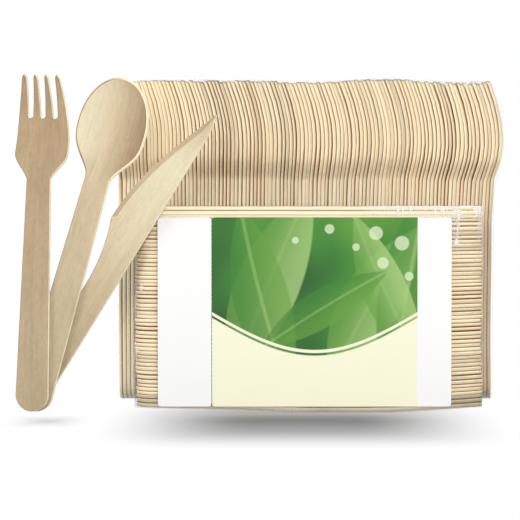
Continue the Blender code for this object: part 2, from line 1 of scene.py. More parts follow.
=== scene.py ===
"""The looks of a wooden cutlery pack: two film-wrapped stacks of wooden forks, knives and spoons, a
plain printed label, and a loose fork, spoon and knife standing in front of them.

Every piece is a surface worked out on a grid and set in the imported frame, in metres: +X runs to the
right along the front stack, +Y away from its labelled face and +Z up.
"""

import logging
import math
from abc import ABC, abstractmethod
from dataclasses import dataclass, field
from enum import Enum
from typing import Any, Mapping, Sequence

import bpy
import numpy as np
from mathutils import Matrix, Vector


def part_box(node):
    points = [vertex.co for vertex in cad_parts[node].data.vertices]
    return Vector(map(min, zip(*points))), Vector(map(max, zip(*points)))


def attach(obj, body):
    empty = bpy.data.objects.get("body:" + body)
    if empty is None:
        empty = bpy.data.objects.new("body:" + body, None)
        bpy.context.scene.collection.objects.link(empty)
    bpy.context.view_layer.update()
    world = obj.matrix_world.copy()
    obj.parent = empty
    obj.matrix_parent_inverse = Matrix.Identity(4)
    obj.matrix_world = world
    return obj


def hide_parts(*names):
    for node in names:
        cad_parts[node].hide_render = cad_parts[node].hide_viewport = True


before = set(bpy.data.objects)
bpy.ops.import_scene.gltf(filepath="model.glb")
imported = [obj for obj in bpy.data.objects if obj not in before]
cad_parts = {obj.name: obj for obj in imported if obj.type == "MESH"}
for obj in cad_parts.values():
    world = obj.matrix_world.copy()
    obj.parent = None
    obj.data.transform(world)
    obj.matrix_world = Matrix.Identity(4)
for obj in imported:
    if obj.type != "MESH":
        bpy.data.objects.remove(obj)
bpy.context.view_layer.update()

log = logging.getLogger("cutlery_pack")

MM = 0.001
BODY = "root"
GAP = 0.3 * MM

Colour = tuple[float, float, float]
Scale = tuple[float, float, float]

WHITE: Colour = (1.0, 1.0, 1.0)


class Detail(Enum):
    """How finely a piece is divided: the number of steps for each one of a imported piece."""

    PACKED = 1
    LOOSE = 5


class Wood(Enum):
    """Which surfaces of the wood a finish is made for."""

    STACKED = "stacked"
    LOOSE = "loose"


# Sums on whole arrays


def smoothstep(x: np.ndarray, low: float, high: float) -> np.ndarray:
    """3s^2 - 2s^3, with s the share of the way from low to high, held between 0 and 1."""
    share = np.clip((x - low) / (high - low), 0.0, 1.0)
    return share * share * (3.0 - 2.0 * share)


def bell(x: np.ndarray, centre: float, width: float) -> np.ndarray:
    """exp(-d^2), with d the distance from the centre in widths."""
    return np.exp(-(((x - centre) / width) ** 2))


def ridge(angle: np.ndarray, sharpness: float) -> np.ndarray:
    """A cosine's crests, from 0 to 1, drawn in by a power."""
    return (0.5 + 0.5 * np.cos(angle)) ** sharpness


def runs(*stretches: tuple[float, float, int]) -> np.ndarray:
    """Places along stretches that follow each other.

    Args:
        stretches: the start, the end and the number of steps of each.

    Returns:
        The places, each stretch's end once.
    """
    parts = [np.linspace(start, end, steps, endpoint=False) for start, end, steps in stretches]
    return np.concatenate([*parts, [stretches[-1][1]]])


@dataclass(frozen=True)
class Ripple:
    """A smooth wavering over two coordinates: a sum of sines whose lengths and phases are drawn once."""

    seed: int
    waves: int = 5
    shortest: float = 0.4

    def at(self, along: np.ndarray, across: np.ndarray) -> np.ndarray:
        """The sum of sin(a x + b y + phase) over the waves, divided by the root of their number.

        Args:
            along: the first coordinate, in wavelengths.
            across: the second coordinate, in wavelengths.

        Returns:
            The wavering, mostly between -1 and 1.
        """
        rng = np.random.default_rng(self.seed)
        total = np.zeros(np.broadcast(along, across).shape)
        for _ in range(self.waves):
            turn = rng.uniform(-1.0, 1.0)
            stretch = rng.uniform(self.shortest, 1.0)
            phase = rng.uniform(0.0, 2.0 * np.pi)
            total = total + np.sin(2.0 * np.pi * stretch * (along + turn * across) + phase)
        return total / math.sqrt(self.waves)


# Shader maths


class Value:
    """A socket of a finish, with the sums that are used on it."""

    def __init__(self, bench: "Bench", socket: bpy.types.NodeSocket) -> None:
        """Keep the socket and the bench that it is on."""
        self.bench = bench
        self.socket = socket

    def _math(self, operation: str, *terms: "Value | float") -> "Value":
        """One Math node over the terms."""
        return self.bench.node("ShaderNodeMath", {"operation": operation}, dict(enumerate(terms)))

    def __add__(self, other: "Value | float") -> "Value":
        """self + other."""
        return self._math("ADD", self, other)

    __radd__ = __add__

    def __sub__(self, other: "Value | float") -> "Value":
        """self - other."""
        return self._math("SUBTRACT", self, other)

    def __rsub__(self, other: float) -> "Value":
        """other - self."""
        return self._math("SUBTRACT", other, self)

    def __mul__(self, other: "Value | float") -> "Value":
        """self times other."""
        return self._math("MULTIPLY", self, other)

    __rmul__ = __mul__

    def __truediv__(self, other: "Value | float") -> "Value":
        """self over other."""
        return self._math("DIVIDE", self, other)

    def __pow__(self, other: float) -> "Value":
        """self to a power."""
        return self._math("POWER", self, other)

    def sine(self) -> "Value":
        """The sine of self."""
        return self._math("SINE", self)

    def size(self) -> "Value":
        """self without its sign."""
        return self._math("ABSOLUTE", self)

    def at_least(self, other: "Value | float") -> "Value":
        """The larger of the two."""
        return self._math("MAXIMUM", self, other)

    def at_most(self, other: "Value | float") -> "Value":
        """The smaller of the two."""
        return self._math("MINIMUM", self, other)

    def step(self, low: "Value | float", high: float) -> "Value":
        """0 up to low and 1 from high, and smooth between them. low may be the larger one."""
        places = {"Value": self, "From Min": low, "From Max": high}
        return self.bench.node("ShaderNodeMapRange", {"interpolation_type": "SMOOTHSTEP"}, places)


class Bench:
    """The node tree of one finish, or of the world."""

    def __init__(self, owner: bpy.types.Material | bpy.types.World) -> None:
        """Empty the tree of the material or the world."""
        self.owner = owner
        self.owner.use_nodes = True
        self.tree = self.owner.node_tree
        self.tree.nodes.clear()

    @classmethod
    def for_finish(cls, name: str) -> "Bench":
        """The empty tree of a new material."""
        return cls(bpy.data.materials.new(name))

    def add(
        self,
        kind: str,
        settings: Mapping[str, Any] | None = None,
        inputs: Mapping[int | str, Any] | None = None,
    ) -> bpy.types.Node:
        """Make any node.

        Args:
            kind: the node's type.
            settings: its own settings, which are set first. "stops" holds a ramp's places and colours.
            inputs: a value or a link for each socket that is fed.

        Returns:
            The node.
        """
        made = self.tree.nodes.new(kind)
        for name, value in (settings or {}).items():
            if name == "stops":
                self._set_stops(made.color_ramp, value)
            else:
                setattr(made, name, value)
        for name, value in (inputs or {}).items():
            self._feed(made.inputs[name], value)
        return made

    def node(
        self,
        kind: str,
        settings: Mapping[str, Any] | None = None,
        inputs: Mapping[int | str, Any] | None = None,
        output: int | str = 0,
    ) -> Value:
        """Make any node and give one of its outputs, the first if none is named."""
        return Value(self, self.add(kind, settings, inputs).outputs[output])

    def _feed(self, socket: bpy.types.NodeSocket, value: Any) -> None:
        """Link a Value to the socket, or set the socket to a number, vector or colour."""
        if isinstance(value, Value):
            self.tree.links.new(value.socket, socket)
        elif socket.type == "RGBA" and len(value) == 3:
            socket.default_value = (*value, 1.0)
        else:
            socket.default_value = value

    @staticmethod
    def _set_stops(ramp: bpy.types.ColorRamp, stops: Sequence[tuple[float, Colour]]) -> None:
        """Give a ramp its places and colours."""
        while len(ramp.elements) < len(stops):
            ramp.elements.new(1.0)
        for element, (place, colour) in zip(ramp.elements, stops):
            element.position = place
            element.color = (*colour, 1.0)

    def place(self) -> Value:
        """The point in the object's own coordinates, which are the frame's."""
        return self.node("ShaderNodeTexCoord", output="Object")

    def attribute(self, name: str, output: str = "Vector") -> Value:
        """A value that the mesh carries."""
        return self.node("ShaderNodeAttribute", {"attribute_name": name}, output=output)

    def split(self, vector: Value) -> tuple[Value, Value, Value]:
        """The three parts of a vector."""
        parts = self.add("ShaderNodeSeparateXYZ", inputs={0: vector})
        return tuple(Value(self, output) for output in parts.outputs)

    def stretch(self, vector: Value, scale: Scale) -> Value:
        """The vector with each part multiplied by its own number."""
        return self.node("ShaderNodeVectorMath", {"operation": "MULTIPLY"}, {0: vector, 1: scale})

    def noise(self, vector: Value, detail: float = 2.0, rough: float = 0.5, bend: float = 0.0) -> Value:
        """Noise from 0 to 1 at one bump for each unit of the vector."""
        places = {"Vector": vector, "Scale": 1.0, "Detail": detail, "Roughness": rough, "Distortion": bend}
        return self.node("ShaderNodeTexNoise", inputs=places)

    def ramp(self, share: Value, *stops: tuple[float, Colour]) -> Value:
        """The colour at a share of the way along the stops."""
        return self.node("ShaderNodeValToRGB", {"stops": stops}, {0: share})

    def mix(self, share: Value | float, first: Any, second: Any, mode: str = "MIX") -> Value:
        """The first colour with a share of the second mixed in."""
        settings = {"data_type": "RGBA", "blend_type": mode, "clamp_factor": True}
        return self.node("ShaderNodeMix", settings, {0: share, 6: first, 7: second}, 2)

    def grey(self, value: Value) -> Value:
        """The value as a colour."""
        return self.node("ShaderNodeCombineXYZ", inputs={0: value, 1: value, 2: value})

    def bump(self, height: Value, distance: float, strength: float) -> Value:
        """A normal tilted by the height, of which 1 is the distance."""
        places = {"Height": height, "Distance": distance, "Strength": strength}
        return self.node("ShaderNodeBump", inputs=places, output="Normal")

    def principled(self, inputs: Mapping[str, Any]) -> Value:
        """The surface shader."""
        return self.node("ShaderNodeBsdfPrincipled", inputs=inputs)

    def seen_by(self, *kinds: str) -> Value:
        """1 for rays of any of these kinds, and 0 for the others."""
        paths = self.add("ShaderNodeLightPath")
        seen, *others = [Value(self, paths.outputs[f"Is {kind} Ray"]) for kind in kinds]
        for other in others:
            seen = seen.at_least(other)
        return seen

    def finish(self, surface: Value, output: str = "ShaderNodeOutputMaterial") -> Any:
        """Send a shader to the output and give the material or the world."""
        self.add(output, inputs={"Surface": surface})
        return self.owner


# Finishes


@dataclass(frozen=True)
class WoodFinish:
    """Pale smooth wood, with its grain along the piece.

    The mesh carries "grain", the place in the piece's own board, "tone": its lightness, its hue and
    how far a point lies round the edge of the board, and "side": -1 on the board's face that turns
    to the light, 1 on the other one, and 0 on an outer face that no other board covers. On a stack
    "side" places painted light and shade: a cream painted highlight on the edge towards the light,
    and a dark brown painted shade line on its other side and on the faces that neighbours cover. On
    a loose piece "side" is instead how much its edge looks to the right: its rounded edges are
    painted light where they look right and painted shade where they look left, and the knife's
    bevel is painted darker, as shade. A scale is a pattern's bumps for each metre along, across and
    through the board. A depth is how much the growth bands, the fibres and the mottle each lighten
    or darken it.
    """

    kind: Wood
    face: Colour = (0.800, 0.640, 0.415)
    # The cream of a painted highlight: on the edge of each stacked board that turns to the light, and on
    # the loose pieces' right-facing edges.
    cut: Colour = (0.930, 0.815, 0.590)
    # The dark brown of the painted shade lines between stacked boards and on the faces that neighbours
    # cover.
    gap_shade: Colour = (0.235, 0.110, 0.034)
    pink: Colour = (0.800, 0.575, 0.345)
    green: Colour = (0.800, 0.715, 0.505)
    # A darker tan: painted shade on the knife's bevel.
    bevel: Colour = (0.590, 0.460, 0.290)
    # The dark brown of painted shade on the loose pieces' rounded edges that look left.
    painted_edge_shade: Colour = (0.380, 0.250, 0.130)
    band_scale: Scale = (5.0, 260.0, 260.0)
    fibre_scale: Scale = (26.0, 1100.0, 1100.0)
    pore_scale: Scale = (70.0, 1500.0, 1500.0)
    cloud_scale: Scale = (30.0, 90.0, 90.0)
    mottle_scale: Scale = (330.0, 620.0, 620.0)
    stacked_depths: tuple[float, float, float] = (0.20, 0.34, 0.16)
    loose_depths: tuple[float, float, float] = (0.11, 0.15, 0.22)
    cloud_depth: float = 0.20
    pore_depth: float = 0.14
    stacked_hue: float = 0.35
    stacked_level: float = 0.82
    stacked_gain: float = 0.38
    # Where across a board's edge its painted shade line begins, its least strength, and how much faint
    # boards lose of it.
    line_from: float = 0.42
    line_cover: float = 0.66
    faint_loss: float = 0.44
    # The lightness of the painted highlight on the loose pieces' rounded edges that look right.
    painted_edge_light: float = 0.98
    roughness: float = 0.62
    brightest: float = 1.06

    def make(self) -> bpy.types.Material:
        """Mix the board's tone, its growth bands, its fibres and its pores, with painted highlight and
        painted shade on its edges.
        """
        bench = Bench.for_finish(f"{self.kind.value}_wood")
        grain = bench.attribute("grain")
        lightness, hue, rim = bench.split(bench.attribute("tone"))
        bands = bench.noise(bench.stretch(grain, self.band_scale), 3.0, 0.6, 0.6)
        fibres = bench.noise(bench.stretch(grain, self.fibre_scale), 3.0, 0.7)
        pores = bench.noise(bench.stretch(grain, self.pore_scale), 2.0).step(0.60, 0.74)
        cloud = bench.noise(bench.stretch(grain, self.cloud_scale), 3.0)
        mottle = bench.noise(bench.stretch(grain, self.mottle_scale), 3.0, 0.7)

        stacked = self.kind is Wood.STACKED
        shift = 0.5 + (hue - 0.5) * (self.stacked_hue if stacked else 1.0)
        tinted = bench.mix(shift.step(0.5, 1.0), self.face, self.pink)
        tinted = bench.mix(shift.step(0.5, 0.0), tinted, self.green)
        side = bench.attribute("side", "Fac")
        if stacked:
            # Painted highlight: cream on the side of each edge that turns to the light, and where painted
            # light lifts a board's lightness past 1.
            pale = side.step(-0.05, -0.70).at_least(0.9 * lightness.step(1.0, 1.4))
            shown = bench.mix(pale, tinted, self.cut)
            # Painted shade: a dark line on the side of each edge away from the light, stronger on some
            # boards and fainter on others, and dark on the faces that neighbours cover.
            strong = hue.step(0.66, 0.80)
            faint = hue.step(0.42, 0.12)
            shade = side.step(self.line_from - self.line_from * strong, 0.72)
            shade = shade * (self.line_cover + (1.0 - self.line_cover) * strong)
            shade = shade * (1.0 - self.faint_loss * faint) * (0.60 + 0.80 * cloud)
            covered = rim.step(0.3, 0.0) * side.size().step(0.5, 0.9)
            shown = bench.mix(shade.at_least(covered), shown, self.gap_shade)
            # Painted light: each edge is a little lighter on its side towards the light.
            level = self.stacked_level + self.stacked_gain * lightness - 0.06 * side
            grown, streak, speckle = self.stacked_depths
        else:
            worked = rim.step(0.02, 0.40)
            # Painted highlight on the rounded edges that look right and painted shade on those that look
            # left.
            shown = bench.mix(worked, tinted, bench.mix(side.step(-0.5, 0.3), self.painted_edge_shade, self.cut))
            # Painted shade: the knife's bevel is darker.
            shown = bench.mix(rim.step(-0.02, -0.15), shown, self.bevel)
            # Painted highlight: rounded edges that look right are lifted towards a set lightness.
            level = lightness + worked * side.step(0.0, 0.5) * (self.painted_edge_light - lightness)
            grown, streak, speckle = self.loose_depths
        level = level + grown * (bands - 0.5) + streak * (fibres - 0.5) + speckle * (mottle - 0.5)
        level = (level + self.cloud_depth * (cloud - 0.5)) * (1.0 - self.pore_depth * pores)
        colour = bench.mix(1.0, shown, bench.grey(level.at_most(self.brightest)), "MULTIPLY")

        height = 0.6 * fibres + 0.5 * bands - 0.8 * pores
        normal = bench.bump(height, 0.06 * MM, 0.5)
        rough = self.roughness + 0.14 * (fibres - 0.5) + 0.10 * pores
        inputs = {"Base Color": colour, "Roughness": rough, "Normal": normal, "Specular IOR Level": 0.15}
        return bench.finish(bench.principled(inputs))


@dataclass(frozen=True)
class FilmFinish:
    """Clear shrink film: a mirror where it reflects, white painted highlight that stands for the glints
    on its creases, and open elsewhere. The mesh carries an attribute: how white the painted glints on
    its creases are, with what goes over 1 for white all over, a place across the creases, of which 1
    is about the step from one to the next, and a place along them."""

    name: str = "clear_film"
    # The whitish colour of the painted glints, which also tints the film's mirror.
    glint_veil: Colour = (0.96, 0.95, 0.92)
    ior: float = 1.18
    most: float = 0.16
    crinkle_scale: Scale = (260.0, 260.0, 260.0)
    sweep_scale: Scale = (46.0, 46.0, 30.0)
    # How white the painted glints are: a share all over them, more along their lines and with the crinkle.
    glint_haze: float = 0.14
    line_glint: float = 1.2
    crinkle_glint: float = 0.25

    def make(self) -> bpy.types.Material:
        """Cover the film by its reflection and its painted glints."""
        bench = Bench.for_finish(self.name)
        place = bench.place()
        crease_glint = bench.attribute("crease_glint")
        glint_veil = bench.split(crease_glint)[0]
        lines = bench.noise(bench.stretch(crease_glint, (0.0, 1.5, 0.35)), 1.0, 0.5, 0.3).step(0.50, 0.68)
        crinkle = bench.noise(bench.stretch(place, self.crinkle_scale), 3.0, 0.55, 0.8)
        sweep = bench.noise(bench.stretch(place, self.sweep_scale), 1.0)
        normal = bench.bump(0.35 * crinkle + sweep, 0.5 * MM, 0.25)
        fresnel = bench.node("ShaderNodeFresnel", inputs={"IOR": self.ior, "Normal": normal})
        mirror = fresnel.at_most(self.most)
        # Painted highlight: how white the glints on the film's creases are painted.
        glint_share = self.glint_haze + self.line_glint * lines + self.crinkle_glint * crinkle
        white = (glint_veil.at_most(1.0) * glint_share + (glint_veil - 1.0).at_least(0.0)).at_most(1.0)
        cover = mirror + white * (1.0 - mirror)
        inputs = {
            "Base Color": self.glint_veil,
            "Metallic": (mirror / (cover + 0.0001)).at_most(1.0),
            "Roughness": 0.10 + 0.25 * white,
            "Alpha": cover.at_most(1.0),
            "Normal": normal,
        }
        return bench.finish(bench.principled(inputs))


@dataclass(frozen=True)
class PaperFinish:
    """Smooth white label paper."""

    name: str = "white_paper"
    dusky: Colour = (0.74, 0.73, 0.70)
    white: Colour = (0.84, 0.84, 0.835)
    fibre_scale: Scale = (1900.0, 1900.0, 1900.0)
    wave_scale: Scale = (28.0, 28.0, 40.0)

    def make(self) -> bpy.types.Material:
        """Give the paper its faint fibre and its slight waves."""
        bench = Bench.for_finish(self.name)
        place = bench.place()
        fibre = bench.noise(bench.stretch(place, self.fibre_scale), 2.0)
        wave = bench.noise(bench.stretch(place, self.wave_scale), 1.0)
        normal = bench.bump(0.03 * fibre + wave, 0.4 * MM, 0.25)
        colour = bench.mix(0.05 * fibre, self.white, self.dusky)
        inputs = {"Base Color": colour, "Roughness": 0.42 + 0.12 * fibre, "Normal": normal}
        return bench.finish(bench.principled(inputs))


@dataclass(frozen=True)
class Leaf:
    """A lens-shaped leaf on the printed label, its sizes in heights of the label.

    root is its foot, lean its angle from upright in radians, breadth its greatest half width and
    curl how far its tip bends aside, in breadths.
    """

    root: tuple[float, float]
    lean: float
    length: float
    breadth: float
    curl: float = 0.55

    def mask(self, across: Value, up: Value) -> tuple[Value, Value]:
        """Where the leaf is, and the side of its midrib: below 0 on the left, above 0 on the right."""
        east = across - self.root[0]
        north = up - self.root[1]
        along = (east * math.sin(self.lean) + north * math.cos(self.lean)) * (1.0 / self.length)
        side = (east * math.cos(self.lean) - north * math.sin(self.lean)) * (1.0 / self.breadth)
        bent = side - self.curl * (along * along)
        room = (along * (1.0 - along)).at_least(0.0) * 4.0
        ends = along.step(0.0, 0.02) * (1.0 - along.step(0.98, 1.0))
        return (room - bent.size()).step(-0.03, 0.05) * ends, bent


LEAVES = (
    Leaf((0.10, 0.10), 0.30, 1.15, 0.17),
    Leaf((0.42, 0.05), -0.34, 1.05, 0.15),
    Leaf((0.62, 0.12), 0.42, 0.95, 0.16),
    Leaf((0.95, 0.02), 0.10, 1.20, 0.15),
    Leaf((1.12, 0.20), -0.50, 0.90, 0.12),
    Leaf((0.25, 0.30), 0.95, 0.80, 0.10),
)

# Soft discs of light: their places across and up the label and their radius, in its heights
DISCS = (
    (0.865, 0.918, 0.040),
    (1.002, 0.865, 0.042),
    (0.902, 0.760, 0.034),
    (0.760, 0.844, 0.022),
    (0.620, 0.940, 0.028),
    (1.040, 0.690, 0.026),
    (0.440, 0.880, 0.020),
)


@dataclass(frozen=True)
class PrintFinish:
    """The printed label: soft green leaves over a cream field, with a bare white strip at its end.

    Places on it are shares of its width and height, from its lower left corner.
    """

    corner: tuple[float, float]
    width: float
    height: float
    strip_from: float = 0.858
    soft_scale: Scale = (30.0, 1.0, 22.0)
    wave_scale: Scale = (20.0, 20.0, 34.0)
    field_top: float = 0.47
    field_dip: float = 0.20
    hem_below: float = 0.022
    leaf_cover: float = 0.66
    rib_cover: float = 0.45
    disc_cover: float = 0.60
    name: str = "printed_paper"
    dark: Colour = (0.010, 0.070, 0.012)
    mid: Colour = (0.035, 0.185, 0.020)
    bright: Colour = (0.105, 0.285, 0.036)
    glow: Colour = (0.370, 0.560, 0.190)
    pale: Colour = (0.720, 0.830, 0.560)
    cream: Colour = (0.840, 0.827, 0.625)
    white: Colour = (0.84, 0.84, 0.835)

    def make(self) -> bpy.types.Material:
        """Lay the leaves on the green, cut the cream field in and leave the strip bare."""
        bench = Bench.for_finish(self.name)
        place = bench.place()
        x, _, z = bench.split(place)
        across = (x - self.corner[0]) * (1.0 / self.height)
        up = (z - self.corner[1]) * (1.0 / self.height)
        share = (x - self.corner[0]) * (1.0 / self.width)
        soft = bench.noise(bench.stretch(place, self.soft_scale), 1.0, 0.4)

        green = bench.ramp(0.36 * share + 0.34 * up + 1.0 * (soft - 0.5), (0.12, self.dark),
                           (0.42, self.mid), (0.72, self.bright), (0.98, self.glow))
        for number, leaf in enumerate(LEAVES):
            mask, side = leaf.mask(across, up)
            first, second = (self.mid, self.bright) if number % 2 else (self.bright, self.glow)
            blade = bench.mix(side.step(-0.9, 0.9), first, second)
            rib = 1.0 - side.size().step(0.02, 0.10)
            blade = bench.mix(self.rib_cover * rib, blade, self.glow)
            green = bench.mix(self.leaf_cover * mask, green, blade)

        for east, north, radius in DISCS:
            away = ((across - east) * (across - east) + (up - north) * (up - north)) ** 0.5
            green = bench.mix(self.disc_cover * away.step(radius, 0.8 * radius), green, self.pale)

        dip = self.field_top - self.field_dip * (share * (math.pi / self.strip_from)).sine()
        under = (dip - up).step(-0.004, 0.004)
        hem = 1.0 - (dip - up + self.hem_below).size().step(0.006, 0.011)
        printed = bench.mix(under, green, self.cream)
        printed = bench.mix(hem, printed, self.cream)
        strip = share.step(self.strip_from - 0.0015, self.strip_from + 0.0015)
        colour = bench.mix(strip, printed, self.white)

        wave = bench.noise(bench.stretch(place, self.wave_scale), 1.0)
        normal = bench.bump(wave, 0.4 * MM, 0.25)
        inputs = {"Base Color": colour, "Roughness": 0.30 + 0.12 * strip, "Normal": normal}
        return bench.finish(bench.principled(inputs))


# Boards: a flat outline carried through a thickness


@dataclass(frozen=True)
class Outline:
    """A flat outline, the webs that fill it and the polygons left between them.

    points run counter-clockwise with u to the right and v up. A web is two equal runs of point
    numbers that face each other across the outline.
    """

    points: np.ndarray
    webs: Sequence[tuple[np.ndarray, np.ndarray]]
    gussets: Sequence[np.ndarray] = ()


@dataclass(frozen=True)
class Edge:
    """How a board's edge is worked at each point of its outline.

    reach is how far the work runs into the face, drop how far down into the thickness, and flat is
    1 for a straight bevel and 0 for a round one.
    """

    reach: np.ndarray
    drop: np.ndarray
    flat: np.ndarray

    @classmethod
    def rounded(cls, count: int, radius: float) -> "Edge":
        """The same quarter round at every point."""
        return cls(np.full(count, radius), np.full(count, radius), np.zeros(count))


@dataclass
class Board:
    """A board in its own frame: u along it, v across it and t through it.

    rim is how far round its edge each point lies, from 0 to 1, and below 0 on a bevel. out is the
    way (u, v) that the edge looks there, and 0 away from the edge.
    """

    points: np.ndarray
    faces: list[tuple[int, ...]]
    rim: np.ndarray
    out: np.ndarray
    arris: set[tuple[int, int]]


def two_sided(u: np.ndarray, low: np.ndarray, high: np.ndarray) -> Outline:
    """An outline with two sides that face each other at each u.

    Args:
        u: places along the board, from its handle end to its tip.
        low: the side at the lower v.
        high: the side at the higher v. Where the two meet at the tip they are one point.

    Returns:
        The outline and its one web.
    """
    count = len(u)
    meets = high[-1] - low[-1] < 0.01 * MM
    back = slice(-2, None, -1) if meets else slice(None, None, -1)
    points = np.concatenate([np.column_stack([u, low]), np.column_stack([u, high])[back]])
    left = np.arange(count)
    right = len(points) - 1 - left
    if meets:
        right[-1] = left[-1]
    return Outline(points, [(left, right)])


def inward(points: np.ndarray) -> np.ndarray:
    """The unit normals that point into a counter-clockwise outline: its tangents turned to the left."""
    ahead = np.roll(points, -1, axis=0) - points
    behind = points - np.roll(points, 1, axis=0)
    ahead /= np.linalg.norm(ahead, axis=1, keepdims=True)
    behind /= np.linalg.norm(behind, axis=1, keepdims=True)
    tangent = ahead + behind
    tangent /= np.linalg.norm(tangent, axis=1, keepdims=True)
    return np.column_stack([-tangent[:, 1], tangent[:, 0]])


def make_board(outline: Outline, thickness: float, edge: Edge, steps: int, columns: int) -> Board:
    """Carry an outline through a thickness and fill both of its faces.

    A quarter round lies at inset = reach (1 - sin a) and depth = drop (1 - cos a), and a bevel at
    inset = reach (1 - s) and depth = drop s, with s the share that the angle a is of 90 degrees.

    Args:
        outline: the outline and its webs.
        thickness: from face to face.
        edge: how the edge is worked.
        steps: steps from a face to the middle of the edge.
        columns: points between the two sides of a web.

    Returns:
        The board.
    """
    angle = np.linspace(0.0, np.pi / 2, steps + 1)
    angle = np.concatenate([angle, angle[::-1]])[:, None]
    side = np.repeat([-1.0, 1.0], steps + 1)[:, None]
    share = angle / (np.pi / 2)
    inset = edge.reach * ((1.0 - edge.flat) * (1.0 - np.sin(angle)) + edge.flat * (1.0 - share))
    depth = edge.drop * ((1.0 - edge.flat) * (1.0 - np.cos(angle)) + edge.flat * share)
    level = side * (thickness / 2 - depth)
    flat = outline.points[None] + inset[..., None] * inward(outline.points)[None]
    rings, count = level.shape
    points = [np.concatenate([flat, level[..., None]], axis=2).reshape(-1, 3)]
    rim = [(np.sin(angle) * (1.0 - edge.flat) - share * edge.flat).ravel()]

    number = np.arange(rings * count).reshape(rings, count)
    onward = np.roll(number, -1, axis=1)
    walls = np.stack([number[:-1], onward[:-1], onward[1:], number[1:]], axis=-1).reshape(-1, 4)
    faces = [tuple(face) for face in walls.tolist()]
    arris = set()
    used = rings * count
    for ring in (0, rings - 1):
        upper = ring > 0
        arris.update(zip(number[ring].tolist(), onward[ring].tolist()))
        for left, right in outline.webs:
            grid = np.empty((len(left), columns + 2), int)
            grid[:, 0] = number[ring, left]
            grid[:, -1] = number[ring, right]
            open_rows = left != right
            grid[~open_rows] = grid[~open_rows, :1]
            if columns:
                shares = np.linspace(0.0, 1.0, columns + 2)[1:-1]
                ends = points[0][grid[open_rows, 0]][:, None], points[0][grid[open_rows, -1]][:, None]
                inner = ends[0] + (ends[1] - ends[0]) * shares[None, :, None]
                grid[open_rows, 1:-1] = used + np.arange(inner.shape[0] * columns).reshape(-1, columns)
                used += inner.shape[0] * columns
                points.append(inner.reshape(-1, 3))
                rim.append(np.zeros(inner.shape[0] * columns))
            cells = np.stack([grid[:-1, :-1], grid[1:, :-1], grid[1:, 1:], grid[:-1, 1:]], axis=-1)
            for cell in cells.reshape(-1, 4).tolist():
                kept = tuple(dict.fromkeys(cell))
                faces.append(kept if upper else kept[::-1])
        for gusset in outline.gussets:
            kept = tuple(number[ring, gusset].tolist())
            faces.append(kept if upper else kept[::-1])
    out = np.zeros((used, 2))
    out[:rings * count] = np.tile(-inward(outline.points), (rings, 1))
    return Board(np.concatenate(points), faces, np.concatenate(rim), out, arris)


# The three kinds of cutlery


@dataclass(frozen=True)
class Handle:
    """The handle that all three kinds share."""

    end_width: float = 16.3 * MM
    end_flat: float = 1.6 * MM
    end_round: float = 8.0 * MM

    def half_width(self, u: np.ndarray, neck_at: float, neck_width: float) -> np.ndarray:
        """Half the width: half an ellipse, cut off by a small flat, then a straight taper."""
        left = 1.0 - np.clip(u / self.end_round, 0.0, 1.0)
        rounded = np.maximum(self.end_width * np.sqrt(1.0 - left * left), self.end_flat)
        share = (u - self.end_round) / (neck_at - self.end_round)
        tapered = self.end_width + (neck_width - self.end_width) * share
        return np.where(u < self.end_round, rounded, tapered) / 2

    def places(self, neck_at: float, detail: Detail) -> np.ndarray:
        """Places along the rounded end, at even angles, and along the handle up to the neck."""
        fine = detail.value
        angle = np.linspace(0.0, np.pi / 2, 3 * fine + 2)[:-1]
        straight = np.linspace(self.end_round, neck_at, 5 * fine, endpoint=False)
        return np.concatenate([self.end_round * (1.0 - np.cos(angle)), straight])


class Shape(ABC):
    """One kind of cutlery."""

    length: float

    @abstractmethod
    def outline(self, detail: Detail) -> Outline:
        """The flat outline."""

    @abstractmethod
    def rise(self, u: np.ndarray, v: np.ndarray) -> np.ndarray:
        """How far the board's middle stands out of its flat plane."""

    def bent(self, points: np.ndarray, square: bool) -> np.ndarray:
        """Bend a flat board's points to the shape.

        Args:
            points: (u, v, t) of each point.
            square: whether the thickness stays square to the bent surface, or to the flat one.

        Returns:
            (u, v, n) of each point: (u, v, rise) plus t along the normal, which is (-du, -dv, 1)
            made one long, with du and dv the slopes of the rise.
        """
        u, v, t = points.T
        height = self.rise(u, v)
        if not square:
            return np.column_stack([u, v, height + t])
        step = 0.1 * MM
        slope_u = (self.rise(u + step, v) - self.rise(u - step, v)) / (2.0 * step)
        slope_v = (self.rise(u, v + step) - self.rise(u, v - step)) / (2.0 * step)
        normal = np.column_stack([-slope_u, -slope_v, np.ones_like(u)])
        normal /= np.linalg.norm(normal, axis=1, keepdims=True)
        return np.column_stack([u, v, height]) + t[:, None] * normal


